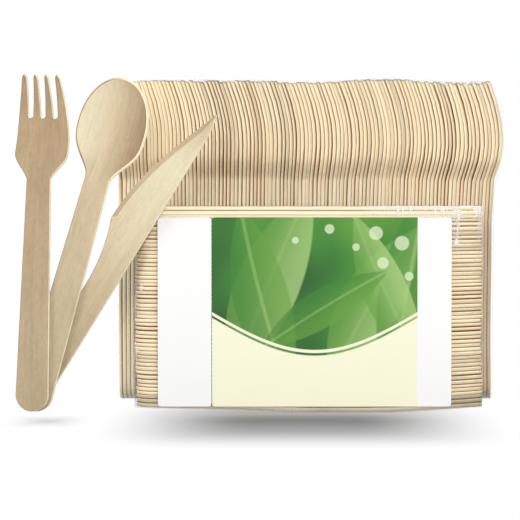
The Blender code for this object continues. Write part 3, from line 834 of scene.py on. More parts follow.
@dataclass(frozen=True)
class Fork(Shape):
    """A fork with four tines and a bent head."""

    handle: Handle = Handle()
    length: float = 161.0 * MM
    neck_width: float = 11.8 * MM
    neck_from_tip: float = 50.0 * MM
    head_width: float = 26.3 * MM
    widest_from_tip: float = 37.5 * MM
    tip_width: float = 18.1 * MM
    shoulder_power: float = 1.38
    taper_power: float = 1.7
    bulge: float = 4.9 * MM
    bulge_from_tip: float = 28.8 * MM
    tip_set: float = 2.0 * MM
    slot_depth: float = 20.5 * MM
    slot_foot_width: float = 2.2 * MM
    slot_mouth_width: float = 3.5 * MM
    slot_foot_pitch: float = 6.2 * MM
    slot_mouth_pitch: float = 5.3 * MM
    tine_round: float = 1.9 * MM

    def half_width(self, u: np.ndarray) -> np.ndarray:
        """The handle, a sine up over the shoulders, and a full taper to the tips."""
        from_tip = self.length - u
        neck_at = self.length - self.neck_from_tip
        grip = self.handle.half_width(u, neck_at, self.neck_width)
        shoulder_length = self.neck_from_tip - self.widest_from_tip
        share = np.clip((self.neck_from_tip - from_tip) / shoulder_length, 0, 1)
        rise = np.sin(np.pi / 2 * share ** self.shoulder_power)
        shoulder = (self.neck_width + (self.head_width - self.neck_width) * rise) / 2
        left = np.clip(1.0 - from_tip / self.widest_from_tip, 0.0, 1.0)
        fall = 1.0 - left ** self.taper_power
        head = (self.tip_width + (self.head_width - self.tip_width) * fall) / 2
        over_head = np.where(from_tip < self.widest_from_tip, head, shoulder)
        return np.where(from_tip >= self.neck_from_tip, grip, over_head)

    def rise(self, u: np.ndarray, v: np.ndarray) -> np.ndarray:
        """Smooth from the neck up to the bulge, then a parabola back to the tips."""
        from_tip = self.length - u
        past_neck = self.neck_from_tip - from_tip
        up = self.bulge * smoothstep(past_neck, 0.0, self.neck_from_tip - self.bulge_from_tip)
        share = np.clip(1.0 - from_tip / self.bulge_from_tip, 0.0, None)
        return up - (self.bulge + self.tip_set) * share * share + 0.0 * v

    def _slot(self, u: np.ndarray) -> tuple[np.ndarray, np.ndarray]:
        """The slots' pitch and half width at u, both straight from foot to mouth."""
        share = np.clip((u - (self.length - self.slot_depth)) / self.slot_depth, 0.0, 1.0)
        pitch = self.slot_foot_pitch + (self.slot_mouth_pitch - self.slot_foot_pitch) * share
        width = self.slot_foot_width + (self.slot_mouth_width - self.slot_foot_width) * share
        return pitch, width / 2

    def _tine(self, u: np.ndarray, number: int) -> tuple[np.ndarray, np.ndarray]:
        """The two sides of tine 0 to 3 at u, drawn together by a quarter ellipse at the tip."""
        pitch, slot_half = self._slot(u)
        half = self.half_width(u)
        low = -half if number == 0 else (number - 2) * pitch + slot_half
        high = half if number == 3 else (number - 1) * pitch - slot_half
        share = np.clip((u - (self.length - self.tine_round)) / self.tine_round, 0.0, 1.0)
        open_share = np.sqrt(1.0 - share * share)
        middle = (low + high) / 2
        return middle + (low - middle) * open_share, middle + (high - middle) * open_share

    def outline(self, detail: Detail) -> Outline:
        """Up one side, round the four tines and the three slots between them, and down the other."""
        fine = detail.value
        neck_at = self.length - self.neck_from_tip
        widest = self.length - self.widest_from_tip
        foot = self.length - self.slot_depth
        fork_at = foot + self.slot_foot_width / 2
        head = runs((neck_at, widest, 6 * fine), (widest, foot - 0.5 * MM, 3 * fine))
        body = np.concatenate([self.handle.places(neck_at, detail), head])
        turn = np.linspace(0.0, np.pi / 2, 2 * fine + 2)
        round_off = self.length - self.tine_round * (1.0 - np.sin(turn))
        straight = np.linspace(fork_at, self.length - self.tine_round, 2 * fine, endpoint=False)
        tines = np.concatenate([straight, round_off])
        arc = np.linspace(-np.pi / 2, np.pi / 2, 2 * fine + 3)[1:-1]

        half = self.half_width(body)
        chain = [np.column_stack([body, -half])]
        webs = []
        used = len(body)
        gusset = [used - 1]
        for number in range(4):
            low, high = self._tine(tines, number)
            rows = len(tines)
            chain += [np.column_stack([tines, low]), np.column_stack([tines, high])[-2::-1]]
            left = used + np.arange(rows)
            right = used + 2 * (rows - 1) - np.arange(rows)
            webs.append((left, right))
            used += 2 * rows - 1
            gusset += [int(left[0]), int(right[0])]
            if number < 3:
                pitch, slot_half = self._slot(np.array([fork_at]))
                middle = (number - 1) * pitch[0]
                arc_u = fork_at - (fork_at - foot) * np.cos(arc)
                arc_v = middle + slot_half[0] * np.sin(arc)
                chain.append(np.column_stack([arc_u, arc_v]))
                gusset += list(range(used, used + len(arc)))
                used += len(arc)
        chain.append(np.column_stack([body, half])[::-1])
        gusset.append(used)
        points = np.concatenate(chain)
        side = np.arange(len(body))
        webs.append((side, len(points) - 1 - side))
        return Outline(points, webs, [np.array(gusset)])


@dataclass(frozen=True)
class Spoon(Shape):
    """A spoon with an egg-shaped bowl. Its bowl is sunk along n where the depth is above 0."""

    handle: Handle = Handle()
    length: float = 165.0 * MM
    neck_width: float = 12.1 * MM
    neck_from_tip: float = 50.0 * MM
    bowl_width: float = 34.0 * MM
    widest_from_tip: float = 24.0 * MM
    bowl_depth: float = 5.5 * MM
    shoulder_power: float = 1.5
    dish_power: float = 0.8

    def half_width(self, u: np.ndarray) -> np.ndarray:
        """The handle, a cosine out to the widest place of the bowl, and a half ellipse round its tip."""
        from_tip = self.length - u
        grip = self.handle.half_width(u, self.length - self.neck_from_tip, self.neck_width)
        share = (from_tip - self.widest_from_tip) / (self.neck_from_tip - self.widest_from_tip)
        rise = 0.5 + 0.5 * np.cos(np.pi * np.clip(share, 0.0, 1.0) ** self.shoulder_power)
        shoulder = (self.neck_width + (self.bowl_width - self.neck_width) * rise) / 2
        left = np.clip(1.0 - from_tip / self.widest_from_tip, 0.0, 1.0)
        tip = self.bowl_width / 2 * np.sqrt(1.0 - left * left)
        over_bowl = np.where(from_tip < self.widest_from_tip, tip, shoulder)
        return np.where(from_tip >= self.neck_from_tip, grip, over_bowl)

    def rise(self, u: np.ndarray, v: np.ndarray) -> np.ndarray:
        """A power of a half sine along the bowl, times a parabola across it."""
        from_tip = np.clip(self.length - u, 0.0, self.neck_from_tip)
        along = np.sin(np.pi * from_tip / self.neck_from_tip) ** self.dish_power
        half = np.maximum(self.half_width(np.clip(u, 0.0, self.length)), self.handle.end_flat / 2)
        return self.bowl_depth * along * np.clip(1.0 - (v / half) ** 2, 0.0, 1.0)

    def outline(self, detail: Detail) -> Outline:
        """The two sides, with the places round the tip at even angles."""
        neck_at = self.length - self.neck_from_tip
        widest = self.length - self.widest_from_tip
        shoulder = runs((neck_at, widest, 5 * detail.value))
        turn = np.linspace(0.0, np.pi / 2, 6 * detail.value + 1)[1:]
        u = np.concatenate([self.handle.places(neck_at, detail), shoulder,
                            widest + self.widest_from_tip * np.sin(turn)])
        half = self.half_width(u)
        return two_sided(u, -half, half)


@dataclass(frozen=True)
class Knife(Shape):
    """A knife with a straight spine at v = 0 and a bellied cutting edge."""

    handle: Handle = Handle()
    length: float = 165.0 * MM
    neck_width: float = 13.2 * MM
    neck_from_tip: float = 103.0 * MM
    heel_from_tip: float = 66.0 * MM
    blade_width: float = 19.6 * MM
    tip_drop: float = 1.6 * MM
    tip_width: float = 2.0 * MM
    spine_curve: float = 17.0 * MM
    heel_power: float = 2.2
    belly_power: float = 1.05

    def sides(self, u: np.ndarray) -> tuple[np.ndarray, np.ndarray]:
        """The spine, with its curve at the tip, and the edge: the handle, a power curve out to the
        heel, and a power of a sine from there to the tip."""
        from_tip = self.length - u
        neck_at = self.length - self.neck_from_tip
        half = self.handle.half_width(u, neck_at, self.neck_width)
        middle = self.handle.end_width / 2
        at_end = u < self.handle.end_round
        curve = np.clip(1.0 - from_tip / self.spine_curve, 0.0, 1.0)
        spine = np.where(at_end, middle - half, self.tip_drop * curve ** 2)
        share = np.clip((u - neck_at) / (self.neck_from_tip - self.heel_from_tip), 0.0, 1.0)
        heel = self.neck_width + (self.blade_width - self.neck_width) * share ** self.heel_power
        belly = np.sin(np.pi / 2 * np.clip(from_tip / self.heel_from_tip, 0.0, 1.0)) ** self.belly_power
        at_tip = self.tip_drop + self.tip_width
        blade = at_tip + (self.blade_width - at_tip) * belly
        edge = np.where(from_tip > self.heel_from_tip, heel, blade)
        grip = np.where(at_end, middle + half, 2.0 * half)
        return spine, np.where(u <= neck_at, grip, edge)

    def rise(self, u: np.ndarray, v: np.ndarray) -> np.ndarray:
        """Flat."""
        return 0.0 * (u + v)

    def outline(self, detail: Detail) -> Outline:
        """The spine and the edge."""
        fine = detail.value
        neck_at = self.length - self.neck_from_tip
        heel = self.length - self.heel_from_tip
        blade = runs((neck_at, heel, 4 * fine), (heel, self.length - self.spine_curve, 4 * fine),
                     (self.length - self.spine_curve, self.length, 4 * fine))
        u = np.concatenate([self.handle.places(neck_at, detail), blade])
        return two_sided(u, *self.sides(u))

    def bevelled(self, points: np.ndarray, radius: float, width: float, thin: float) -> Edge:
        """A bevel along the cutting edge of the blade and a quarter round everywhere else.

        Args:
            points: the outline's points.
            radius: the quarter round.
            width: the bevel's width over the face.
            thin: how far the bevel goes down into the thickness.

        Returns:
            The edge. The bevel grows from the round over a few millimetres past the heel.
        """
        spine, edge = self.sides(points[:, 0])
        on_edge = points[:, 1] > (spine + edge) / 2
        heel = self.length - self.heel_from_tip
        share = on_edge * smoothstep(points[:, 0], heel - 3.0 * MM, heel + 3.0 * MM)
        room = np.minimum(width, 0.45 * (edge - spine))
        return Edge(radius + (room - radius) * share, radius + (thin - radius) * share, share)


# Meshes


@dataclass
class Pile:
    """Boards that make up one piece, gathered as they are placed."""

    points: list[np.ndarray] = field(default_factory=list)
    grain: list[np.ndarray] = field(default_factory=list)
    tone: list[np.ndarray] = field(default_factory=list)
    side: list[np.ndarray] = field(default_factory=list)
    faces: list[tuple[int, ...]] = field(default_factory=list)
    arris: set[tuple[int, int]] = field(default_factory=set)
    used: int = 0

    def add(self, board: Board, placed: np.ndarray, mirrored: bool, tone: tuple[Any, Any],
            shift: np.ndarray, side: np.ndarray) -> None:
        """Add a placed board.

        Args:
            board: the board in its own frame.
            placed: its points in the frame.
            mirrored: whether the placing turned it inside out, so that its faces are turned back.
            tone: its lightness and its hue, each one for all points or one for each.
            shift: where in the log it was cut.
            side: the value "side" of its points.
        """
        start = self.used
        for face in board.faces:
            kept = face[::-1] if mirrored else face
            self.faces.append(tuple(number + start for number in kept))
        self.arris.update((a + start, b + start) for a, b in board.arris)
        self.points.append(placed)
        self.grain.append(board.points + shift)
        ones = np.ones(len(placed))
        self.tone.append(np.column_stack([ones * tone[0], ones * tone[1], board.rim]))
        self.side.append(side)
        self.used += len(placed)

    def finish(self, name: str, material: bpy.types.Material, slot: str, *nodes: str) -> bpy.types.Object:
        """Make the piece, shade it smooth between its arrises and set it in the frame."""
        carried = {"grain": np.concatenate(self.grain), "tone": np.concatenate(self.tone),
                   "side": np.concatenate(self.side)}
        piece = make_piece(name, np.concatenate(self.points), self.faces, material, carried)
        pairs = np.empty(len(piece.data.edges) * 2, int)
        piece.data.edges.foreach_get("vertices", pairs)
        sharp = [(a, b) in self.arris or (b, a) in self.arris for a, b in pairs.reshape(-1, 2).tolist()]
        marks = piece.data.attributes.new("sharp_edge", "BOOLEAN", "EDGE")
        marks.data.foreach_set("value", sharp)
        return settle(piece, slot, *nodes)


def make_piece(name: str, points: np.ndarray, faces: Sequence[Sequence[int]], material: bpy.types.Material,
               carried: Mapping[str, np.ndarray]) -> bpy.types.Object:
    """Make an object at the origin from points in the frame.

    Args:
        name: the piece's name.
        points: (n, 3) points.
        faces: the points' numbers round each face.
        material: its finish.
        carried: values for each point that the finish reads, numbers or vectors.

    Returns:
        The object, smooth shaded.
    """
    mesh = bpy.data.meshes.new(name)
    mesh.from_pydata(points.tolist(), [], faces)
    for label, values in carried.items():
        vector = values.ndim == 2
        store = mesh.attributes.new(label, "FLOAT_VECTOR" if vector else "FLOAT", "POINT")
        numbers = np.ascontiguousarray(values, np.float32).ravel()
        store.data.foreach_set("vector" if vector else "value", numbers)
    mesh.polygons.foreach_set("use_smooth", [True] * len(mesh.polygons))
    mesh.materials.append(material)
    mesh.validate()
    piece = bpy.data.objects.new(name, mesh)
    bpy.context.scene.collection.objects.link(piece)
    return piece


def settle(piece: bpy.types.Object, slot: str, *nodes: str) -> bpy.types.Object:
    """Let a piece ride in the frame, stand for its nodes, and report it."""
    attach(piece, BODY)
    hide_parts(*nodes)
    log.info("%s: %d faces", piece.name, len(piece.data.polygons))
    return piece


def tube_faces(rows: int, count: int) -> list[tuple[int, ...]]:
    """The faces of a tube of rings, each of count points and closed round, seen from outside."""
    number = np.arange(rows * count).reshape(rows, count)
    onward = np.roll(number, -1, axis=1)
    cells = np.stack([number[:-1], number[1:], onward[1:], onward[:-1]], axis=-1)
    return [tuple(cell) for cell in cells.reshape(-1, 4).tolist()]


def tube_normals(grid: np.ndarray) -> np.ndarray:
    """Unit normals of a grid that is closed round: the step round it crossed with the step along it."""
    around = np.roll(grid, -1, axis=1) - np.roll(grid, 1, axis=1)
    along = np.gradient(grid, axis=0)
    normal = np.cross(along, around)
    return normal / np.maximum(np.linalg.norm(normal, axis=2, keepdims=True), 1e-12)


# Stacks


@dataclass(frozen=True)
class Spread:
    """How the boards of one stack differ from each other."""

    count: int
    pitch: float
    board: float
    board_spread: float
    seed: int
    drift: int = 9
    thinnest: float = 0.82
    thickest: float = 1.10
    gap_least: float = 0.18
    gap_most: float = 5.0
    light_spread: float = 0.26
    across_spread: float = 0.11 * MM
    across_most: float = 0.25 * MM
    along_spread: float = 0.60 * MM
    along_most: float = 1.2 * MM

    def draw(self) -> dict[str, np.ndarray]:
        """Draw each board's thickness, place and tone.

        The gaps between boards are drawn from an exponential law and fill what the boards leave of
        the stack. The places then lose their running mean against the even pitch, so no board
        strays from its own place by more than a part of a millimetre.
        """
        rng = np.random.default_rng(self.seed)
        thick = rng.normal(self.board, self.board_spread, self.count)
        thick = np.clip(thick, self.thinnest * self.board, self.thickest * self.pitch)
        gaps = np.minimum(rng.exponential(1.0, self.count) ** 2.0, self.gap_most) + self.gap_least
        gaps *= (self.count * self.pitch - thick.sum()) / gaps.sum()
        ends = np.cumsum(thick + gaps)
        centres = ends - gaps / 2 - thick / 2
        stray = centres - (np.arange(self.count) + 0.5) * self.pitch
        window = np.ones(self.drift) / self.drift
        padded = np.pad(stray, self.drift // 2, mode="edge")
        centres = centres - np.convolve(padded, window, mode="valid")
        light = rng.normal(0.5, self.light_spread, self.count)
        hue = rng.uniform(0.0, 1.0, self.count)
        across = rng.normal(0.0, self.across_spread, self.count)
        along = rng.normal(0.0, self.along_spread, self.count)
        return {
            "thick": thick,
            "centre": centres,
            "light": np.clip(light, 0.0, 1.0),
            "hue": hue,
            "across": np.clip(across, -self.across_most, self.across_most),
            "along": np.clip(along, -self.along_most, self.along_most),
            "cut": rng.uniform(0.0, 3.0, (self.count, 3)),
        }


@dataclass(frozen=True)
class Kind:
    """One kind of packed cutlery.

    columns is the number of points between the two sides of a web, middle the place across the pack
    of a lying board's v = 0, and sunk how far its bowls hang below the boards, which are raised by
    as much.
    """

    name: str
    shape: Shape
    spread: Spread
    slot: str
    columns: int
    middle: float = 0.0
    sunk: float = 0.0


@dataclass
class Stacks:
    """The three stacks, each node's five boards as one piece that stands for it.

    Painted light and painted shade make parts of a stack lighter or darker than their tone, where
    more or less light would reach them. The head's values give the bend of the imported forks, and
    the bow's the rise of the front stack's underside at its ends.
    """

    wood: bpy.types.Material
    per_node: int = 5
    rounding: float = 0.13 * MM
    edge_steps: int = 1
    shortest: float = 2.3 * MM
    fork: Fork = Fork()
    knife: Knife = Knife()
    spoon: Spoon = Spoon(bowl_depth=-5.5 * MM)
    forks: Spread = Spread(100, 1.87 * MM, 1.77 * MM, 0.15 * MM, 11)
    knives: Spread = Spread(50, 1.95 * MM, 1.85 * MM, 0.13 * MM, 23)
    spoons: Spread = Spread(50, 1.84 * MM, 1.77 * MM, 0.05 * MM, 37)
    tip_wave: Ripple = Ripple(15, 6, 0.3)
    tip_wave_length: float = 52.0 * MM
    stand_wave: Ripple = Ripple(5, 6)
    stand_wave_length: float = 90.0 * MM
    stand_sway: float = 0.30 * MM
    lie_wave: Ripple = Ripple(9, 5)
    lie_wave_length: float = 120.0 * MM
    lie_sway: float = 0.10 * MM
    head_bulge: float = 4.75 * MM
    head_share: float = 0.37
    head_share_least: float = -0.08
    head_spread: float = 135.0 * MM
    head_curl: float = 6.4 * MM
    head_top: float = 31.0 * MM
    head_foot: float = 60.0 * MM
    crown: float = 0.5 * MM
    crown_half: float = 3.5 * MM
    # Painted light and shade on the forks: paler below their heads and towards the left end, darker below
    # their heads at the right end, and dark at their tips.
    neck_shade: float = 114.0 * MM
    neck_run: float = 7.0 * MM
    painted_neck_light: float = 0.85
    # A warmer painted shade, with stronger painted shade lines, on a band at the forks' shoulders.
    neck_warm: float = 119.0 * MM
    neck_warm_half: float = 8.0 * MM
    shoulder_shade_warmth: float = 0.16
    # The most that the topmost lying boards' hue may be, which keeps strong painted shade lines off them.
    quiet_hue: float = 0.30
    painted_left_light: float = 0.50
    painted_tip_shade: float = 1.70
    # Painted light and shade on the front stack: pale topmost boards, dark lowest boards and a dark right
    # end.
    painted_top_light: float = 0.90
    painted_foot_shade: float = 1.10
    painted_right_shade: float = 0.35
    left_run: tuple[float, float] = (-40.0 * MM, -88.0 * MM)
    right_run: tuple[float, float] = (72.0 * MM, 88.0 * MM)
    lie_end_run: tuple[float, float] = (64.0 * MM, 74.0 * MM)
    flat_left: float = 4.0 * MM
    flat_right: float = 34.0 * MM
    bow_left: float = 2.1 * MM
    bow_right: float = 2.4 * MM
    bow_left_power: float = 0.7
    bow_right_power: float = 1.4

    def __post_init__(self) -> None:
        """Take the stacks' places from the frame's boxes."""
        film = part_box("front_wrap")
        forks = [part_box(f"fork_bundle_{i:02d}") for i in range(1, self.forks.count // self.per_node + 1)]
        knives = [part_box(f"knife_bundle_{i:02d}") for i in (1, self.knives.count // self.per_node)]
        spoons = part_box("spoon_bundle_01")
        self.fork_middle = (forks[0][0].y + forks[0][1].y) / 2
        self.fork_floor = forks[0][0].z
        self.fork_start = -self.forks.count * self.forks.pitch / 2
        self.spine_y = knives[0][0].y
        self.floor = film[0].z + 0.55 * MM
        self.top = knives[1][1].z + 0.15 * MM
        self.spoon_middle = (spoons[0].y + spoons[1].y) / 2

    def bow(self, x: np.ndarray) -> np.ndarray:
        """Rise of the front stack's underside: a power curve on each side of its flat."""
        half = self.knife.length / 2
        left = np.clip((-self.flat_left - x) / (half - self.flat_left), 0.0, None)
        right = np.clip((x - self.flat_right) / (half - self.flat_right), 0.0, None)
        return self.bow_left * left ** self.bow_left_power + self.bow_right * right ** self.bow_right_power

    def short(self, x: np.ndarray) -> np.ndarray:
        """How far the forks' tips stay below their full height: slow waves along the stack."""
        wave = 0.5 + 0.36 * self.tip_wave.at(x / self.tip_wave_length, np.zeros_like(x))
        return self.shortest * np.clip(wave, 0.0, 1.0)

    def bend(self, u: np.ndarray, x: np.ndarray | float) -> np.ndarray:
        """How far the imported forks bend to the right: the heads bulge out over the necks, less so
        towards the left end of the stack, and curl back by a parabola to their tips."""
        from_tip = self.fork.length - u
        out = np.clip(self.head_share + x / self.head_spread, self.head_share_least, 1.0)
        up = smoothstep(self.head_foot - from_tip, 0.0, self.head_foot - self.head_top)
        share = np.clip(1.0 - from_tip / self.head_top, 0.0, None)
        return self.head_bulge * out * up - self.head_curl * share * share

    def _gain(self, u: np.ndarray, i: int) -> np.ndarray:
        """Painted light and shade on fork i: paler below its head, darker there at the right end, paler
        all over towards the left end, and dark at its tips.
        """
        x = np.array(self.fork_start + (i + 0.5) * self.forks.pitch)
        below = smoothstep(u, self.neck_shade, self.neck_shade - self.neck_run)
        tip = smoothstep(u, self.fork.length - 1.1 * MM, self.fork.length - 0.2 * MM)
        gain = self.painted_neck_light * below * (1.0 - 1.4 * smoothstep(x, *self.right_run))
        return gain + self.painted_left_light * smoothstep(x, *self.left_run) - self.painted_tip_shade * tip

    def _lie_gain(self, x: np.ndarray, i: int, count: int) -> np.ndarray:
        """Painted light and shade on lying board i: the topmost two are painted pale, and the lowest ones
        and the right end painted dark."""
        high = self.painted_top_light * max(0.0, i + 3 - count) / 2 - self.painted_foot_shade * max(0.0, 4 - i) / 4
        return high - self.painted_right_shade * smoothstep(x, *self.lie_end_run)

    def _stand(self, flat: np.ndarray, drawn: dict[str, np.ndarray], i: int) -> np.ndarray:
        """Stand fork i up: its thickness runs along the stack, v away from the camera, u upwards."""
        u, v, t = flat.T
        wave = self.stand_wave.at(u / self.stand_wave_length, np.full_like(u, i / 26.0))
        sway = self.stand_sway * wave
        centre = self.fork_start + drawn["centre"][i]
        crown = self.crown * (bell(v, 0.0, self.crown_half) - 0.4)
        x = centre + self.bend(u, centre) + t + sway + crown
        less = self.short(np.array([centre]))[0] - 0.5 * drawn["along"][i]
        z = self.fork_floor + u * (1.0 - np.clip(less, 0.1 * MM, None) / self.fork.length)
        return np.column_stack([x, self.fork_middle + v + drawn["across"][i], z])

    def _lay(self, bent: np.ndarray, drawn: dict[str, np.ndarray], kind: Kind, i: int) -> np.ndarray:
        """Lay board i flat: u runs to the right, v away from the camera and n upwards, squeezed
        where the underside is bowed."""
        u, v, n = bent.T
        x = u - self.knife.length / 2 + 0.5 * drawn["along"][i]
        floor = self.floor + kind.sunk + self.bow(x)
        share = (drawn["centre"][i] + n) / (kind.spread.count * kind.spread.pitch)
        wave = self.lie_wave.at(u / self.lie_wave_length, np.full_like(u, i / 22.0))
        sway = self.lie_sway * wave * np.sin(np.pi * share)
        z = floor + (self.top - floor) * share + sway
        return np.column_stack([x, kind.middle + v + drawn["across"][i], z])

    def _add_standing(self, pile: Pile, board: Board, drawn: dict[str, np.ndarray], i: int,
                      side: np.ndarray) -> None:
        """Add fork i to its pile, with a warmer painted shade and stronger painted shade lines at the
        shoulders of its head.
        """
        u = board.points[:, 0]
        lightness = drawn["light"][i] + self._gain(u, i)
        hue = drawn["hue"][i] + self.shoulder_shade_warmth * bell(u, self.neck_warm, self.neck_warm_half)
        placed = self._stand(board.points, drawn, i)
        pile.add(board, placed, True, (lightness, hue), drawn["cut"][i], side)

    def _add_lying(self, pile: Pile, board: Board, drawn: dict[str, np.ndarray], i: int,
                   side: np.ndarray, kind: Kind) -> None:
        """Add lying board i to its pile, with no strong painted shade line between the topmost ones."""
        count = kind.spread.count
        placed = self._lay(kind.shape.bent(board.points, square=False), drawn, kind, i)
        lightness = drawn["light"][i] + self._lie_gain(placed[:, 0], i, count)
        hue = drawn["hue"][i]
        if i > count - 4:
            hue = min(hue, self.quiet_hue)
        # -side turns the painted highlight to each lying board's upper face.
        pile.add(board, placed, False, (lightness, hue), drawn["cut"][i], -side)

    def _build_kind(self, kind: Kind) -> None:
        """Build one stack, a node's boards at a time."""
        count = kind.spread.count
        drawn = kind.spread.draw()
        outline = kind.shape.outline(Detail.PACKED)
        edge = Edge.rounded(len(outline.points), self.rounding)
        for first in range(0, count, self.per_node):
            pile = Pile()
            for i in range(first, first + self.per_node):
                board = make_board(outline, drawn["thick"][i], edge, self.edge_steps, kind.columns)
                side = board.points[:, 2] / np.abs(board.points[:, 2]).max()
                side = np.where(side < 0.0, side * (i > 0), side * (i < count - 1))
                if isinstance(kind.shape, Fork):
                    self._add_standing(pile, board, drawn, i, side)
                else:
                    self._add_lying(pile, board, drawn, i, side, kind)
            number = first // self.per_node + 1
            node = f"{kind.name}_bundle_{number:02d}"
            pile.finish(f"{kind.name}s_{number:02d}", self.wood, kind.slot, node)

    def build(self) -> None:
        """Build the forks, the knives and the spoons."""
        sunk = -self.spoon.bowl_depth
        self._build_kind(Kind("fork", self.fork, self.forks, "stacked_forks", 3))
        self._build_kind(Kind("knife", self.knife, self.knives, "stacked_knives", 0, self.spine_y))
        self._build_kind(Kind("spoon", self.spoon, self.spoons, "stacked_spoons", 6,
                              self.spoon_middle, sunk))


# Loose pieces


@dataclass(frozen=True)
class Tone:
    """How light a loose piece is, or its hue: at its handle end, at its tip, what its head gains
    across for each 10 mm, and what it gains over its end. The last three values are where its head
    begins, where it is in full and where its end begins, as shares of its length."""

    handle: float
    tip: float
    across: float = 0.0
    end: float = 0.0
    head_from: float = 0.65
    head_to: float = 0.78
    end_from: float = 0.80

    def at(self, points: np.ndarray, length: float) -> np.ndarray:
        """The tone at each point (u, v, t) of a piece of this length."""
        u, v, _ = points.T
        along = smoothstep(u, 0.0, length)
        at_head = smoothstep(u, self.head_from * length, self.head_to * length)
        at_end = smoothstep(u, self.end_from * length, length)
        tone = self.handle + (self.tip - self.handle) * along + self.end * at_end
        return tone + self.across * at_head * v / (10.0 * MM)


@dataclass(frozen=True)
class Loose:
    """One loose piece and how it stands.

    lean is its lean to the right in radians, foot how far left of the pack's corner it stands, layer
    how many pieces stand behind it, cut where in the log it was cut, lift how high it stands, columns
    the points between the two sides of a web, and flip -1 where v runs against x.
    """

    name: str
    shape: Shape
    lean: float
    foot: float
    layer: int
    light: Tone
    hue: Tone
    cut: tuple[float, float, float]
    lift: float = 0.0
    columns: int = 0
    flip: float = 1.0


@dataclass
class LoosePieces:
    """The fork, the spoon and the knife that stand in front of the pack's left end."""

    wood: bpy.types.Material
    plate: float = 1.6 * MM
    rounding: float = 0.30 * MM
    edge_steps: int = 5
    turn: float = math.radians(12.0)
    fork_lean: float = math.radians(2.1)
    spoon_lean: float = math.radians(16.6)
    knife_lean: float = math.radians(32.5)
    fork_foot: float = 49.4 * MM
    spoon_foot: float = 49.9 * MM
    knife_foot: float = 46.1 * MM
    knife_lift: float = 4.0 * MM
    bevel_width: float = 2.5 * MM
    bevel_depth: float = 0.72 * MM

    def _stand(self, piece: Loose, local: np.ndarray) -> np.ndarray:
        """Stand a piece with its lowest point a lift above the ground, leaning in a plane in front
        of the pack's corner.

        Args:
            piece: the piece and its stance.
            local: (x, y, z) of each point, with x across the piece, y through it and z along it.

        Returns:
            The points in the frame.
        """
        low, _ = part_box("front_wrap")
        turn = np.array(Matrix.Rotation(-self.turn, 3, "Z"))
        turned = local @ (turn @ np.array(Matrix.Rotation(piece.lean, 3, "Y"))).T
        forward = GAP + self.plate / 2 + piece.layer * (GAP + self.plate)
        offset = turn @ np.array([-piece.foot, -forward, 0.0])
        return turned + np.array([low.x, low.y, piece.lift - turned[:, 2].min()]) + offset

    def _make(self, piece: Loose) -> None:
        """Make one piece and stand it up."""
        shape = piece.shape
        outline = shape.outline(Detail.LOOSE)
        edge = Edge.rounded(len(outline.points), self.rounding)
        if isinstance(shape, Knife):
            edge = shape.bevelled(outline.points, self.rounding, self.bevel_width, self.bevel_depth)
        board = make_board(outline, self.plate, edge, self.edge_steps, piece.columns)
        u, v, n = shape.bent(board.points, square=True).T
        placed = self._stand(piece, np.column_stack([piece.flip * v, n, u]))
        tone = (piece.light.at(board.points, shape.length), piece.hue.at(board.points, shape.length))
        # How much each edge looks to the right, which places the painted highlight and painted shade on
        # the loose pieces' edges.
        out_u, out_v = board.out.T
        right = piece.flip * out_v * math.cos(piece.lean) + out_u * math.sin(piece.lean)
        pile = Pile()
        pile.add(board, placed, piece.flip < 0.0, tone, np.array(piece.cut), right)
        pile.finish(f"{piece.name}_wood", self.wood, "loose_wood", piece.name)

    def build(self) -> None:
        """Build the three pieces."""
        knife = Knife(tip_width=0.8 * MM, heel_from_tip=68.0 * MM)
        self._make(Loose("loose_fork", Fork(), self.fork_lean, self.fork_foot, layer=2,
                         light=Tone(0.545, 0.505), hue=Tone(0.60, 0.92), cut=(0.3, 0.1, 0.2)))
        # The spoon's bowl is painted darker and pinker towards its right: painted shade in the hollow of
        # the bowl.
        self._make(Loose("loose_spoon", Spoon(), self.spoon_lean, self.spoon_foot, layer=1,
                         light=Tone(0.61, 0.695, across=-0.18), hue=Tone(0.32, 0.46, across=0.42),
                         cut=(1.7, 0.6, 0.4), columns=30))
        self._make(Loose("loose_knife", knife, self.knife_lean, self.knife_foot, layer=0,
                         light=Tone(0.51, 0.92, end=-0.24), hue=Tone(0.62, 0.0, end=0.45),
                         cut=(2.4, 0.9, 0.7), lift=self.knife_lift, flip=-1.0))


# Film


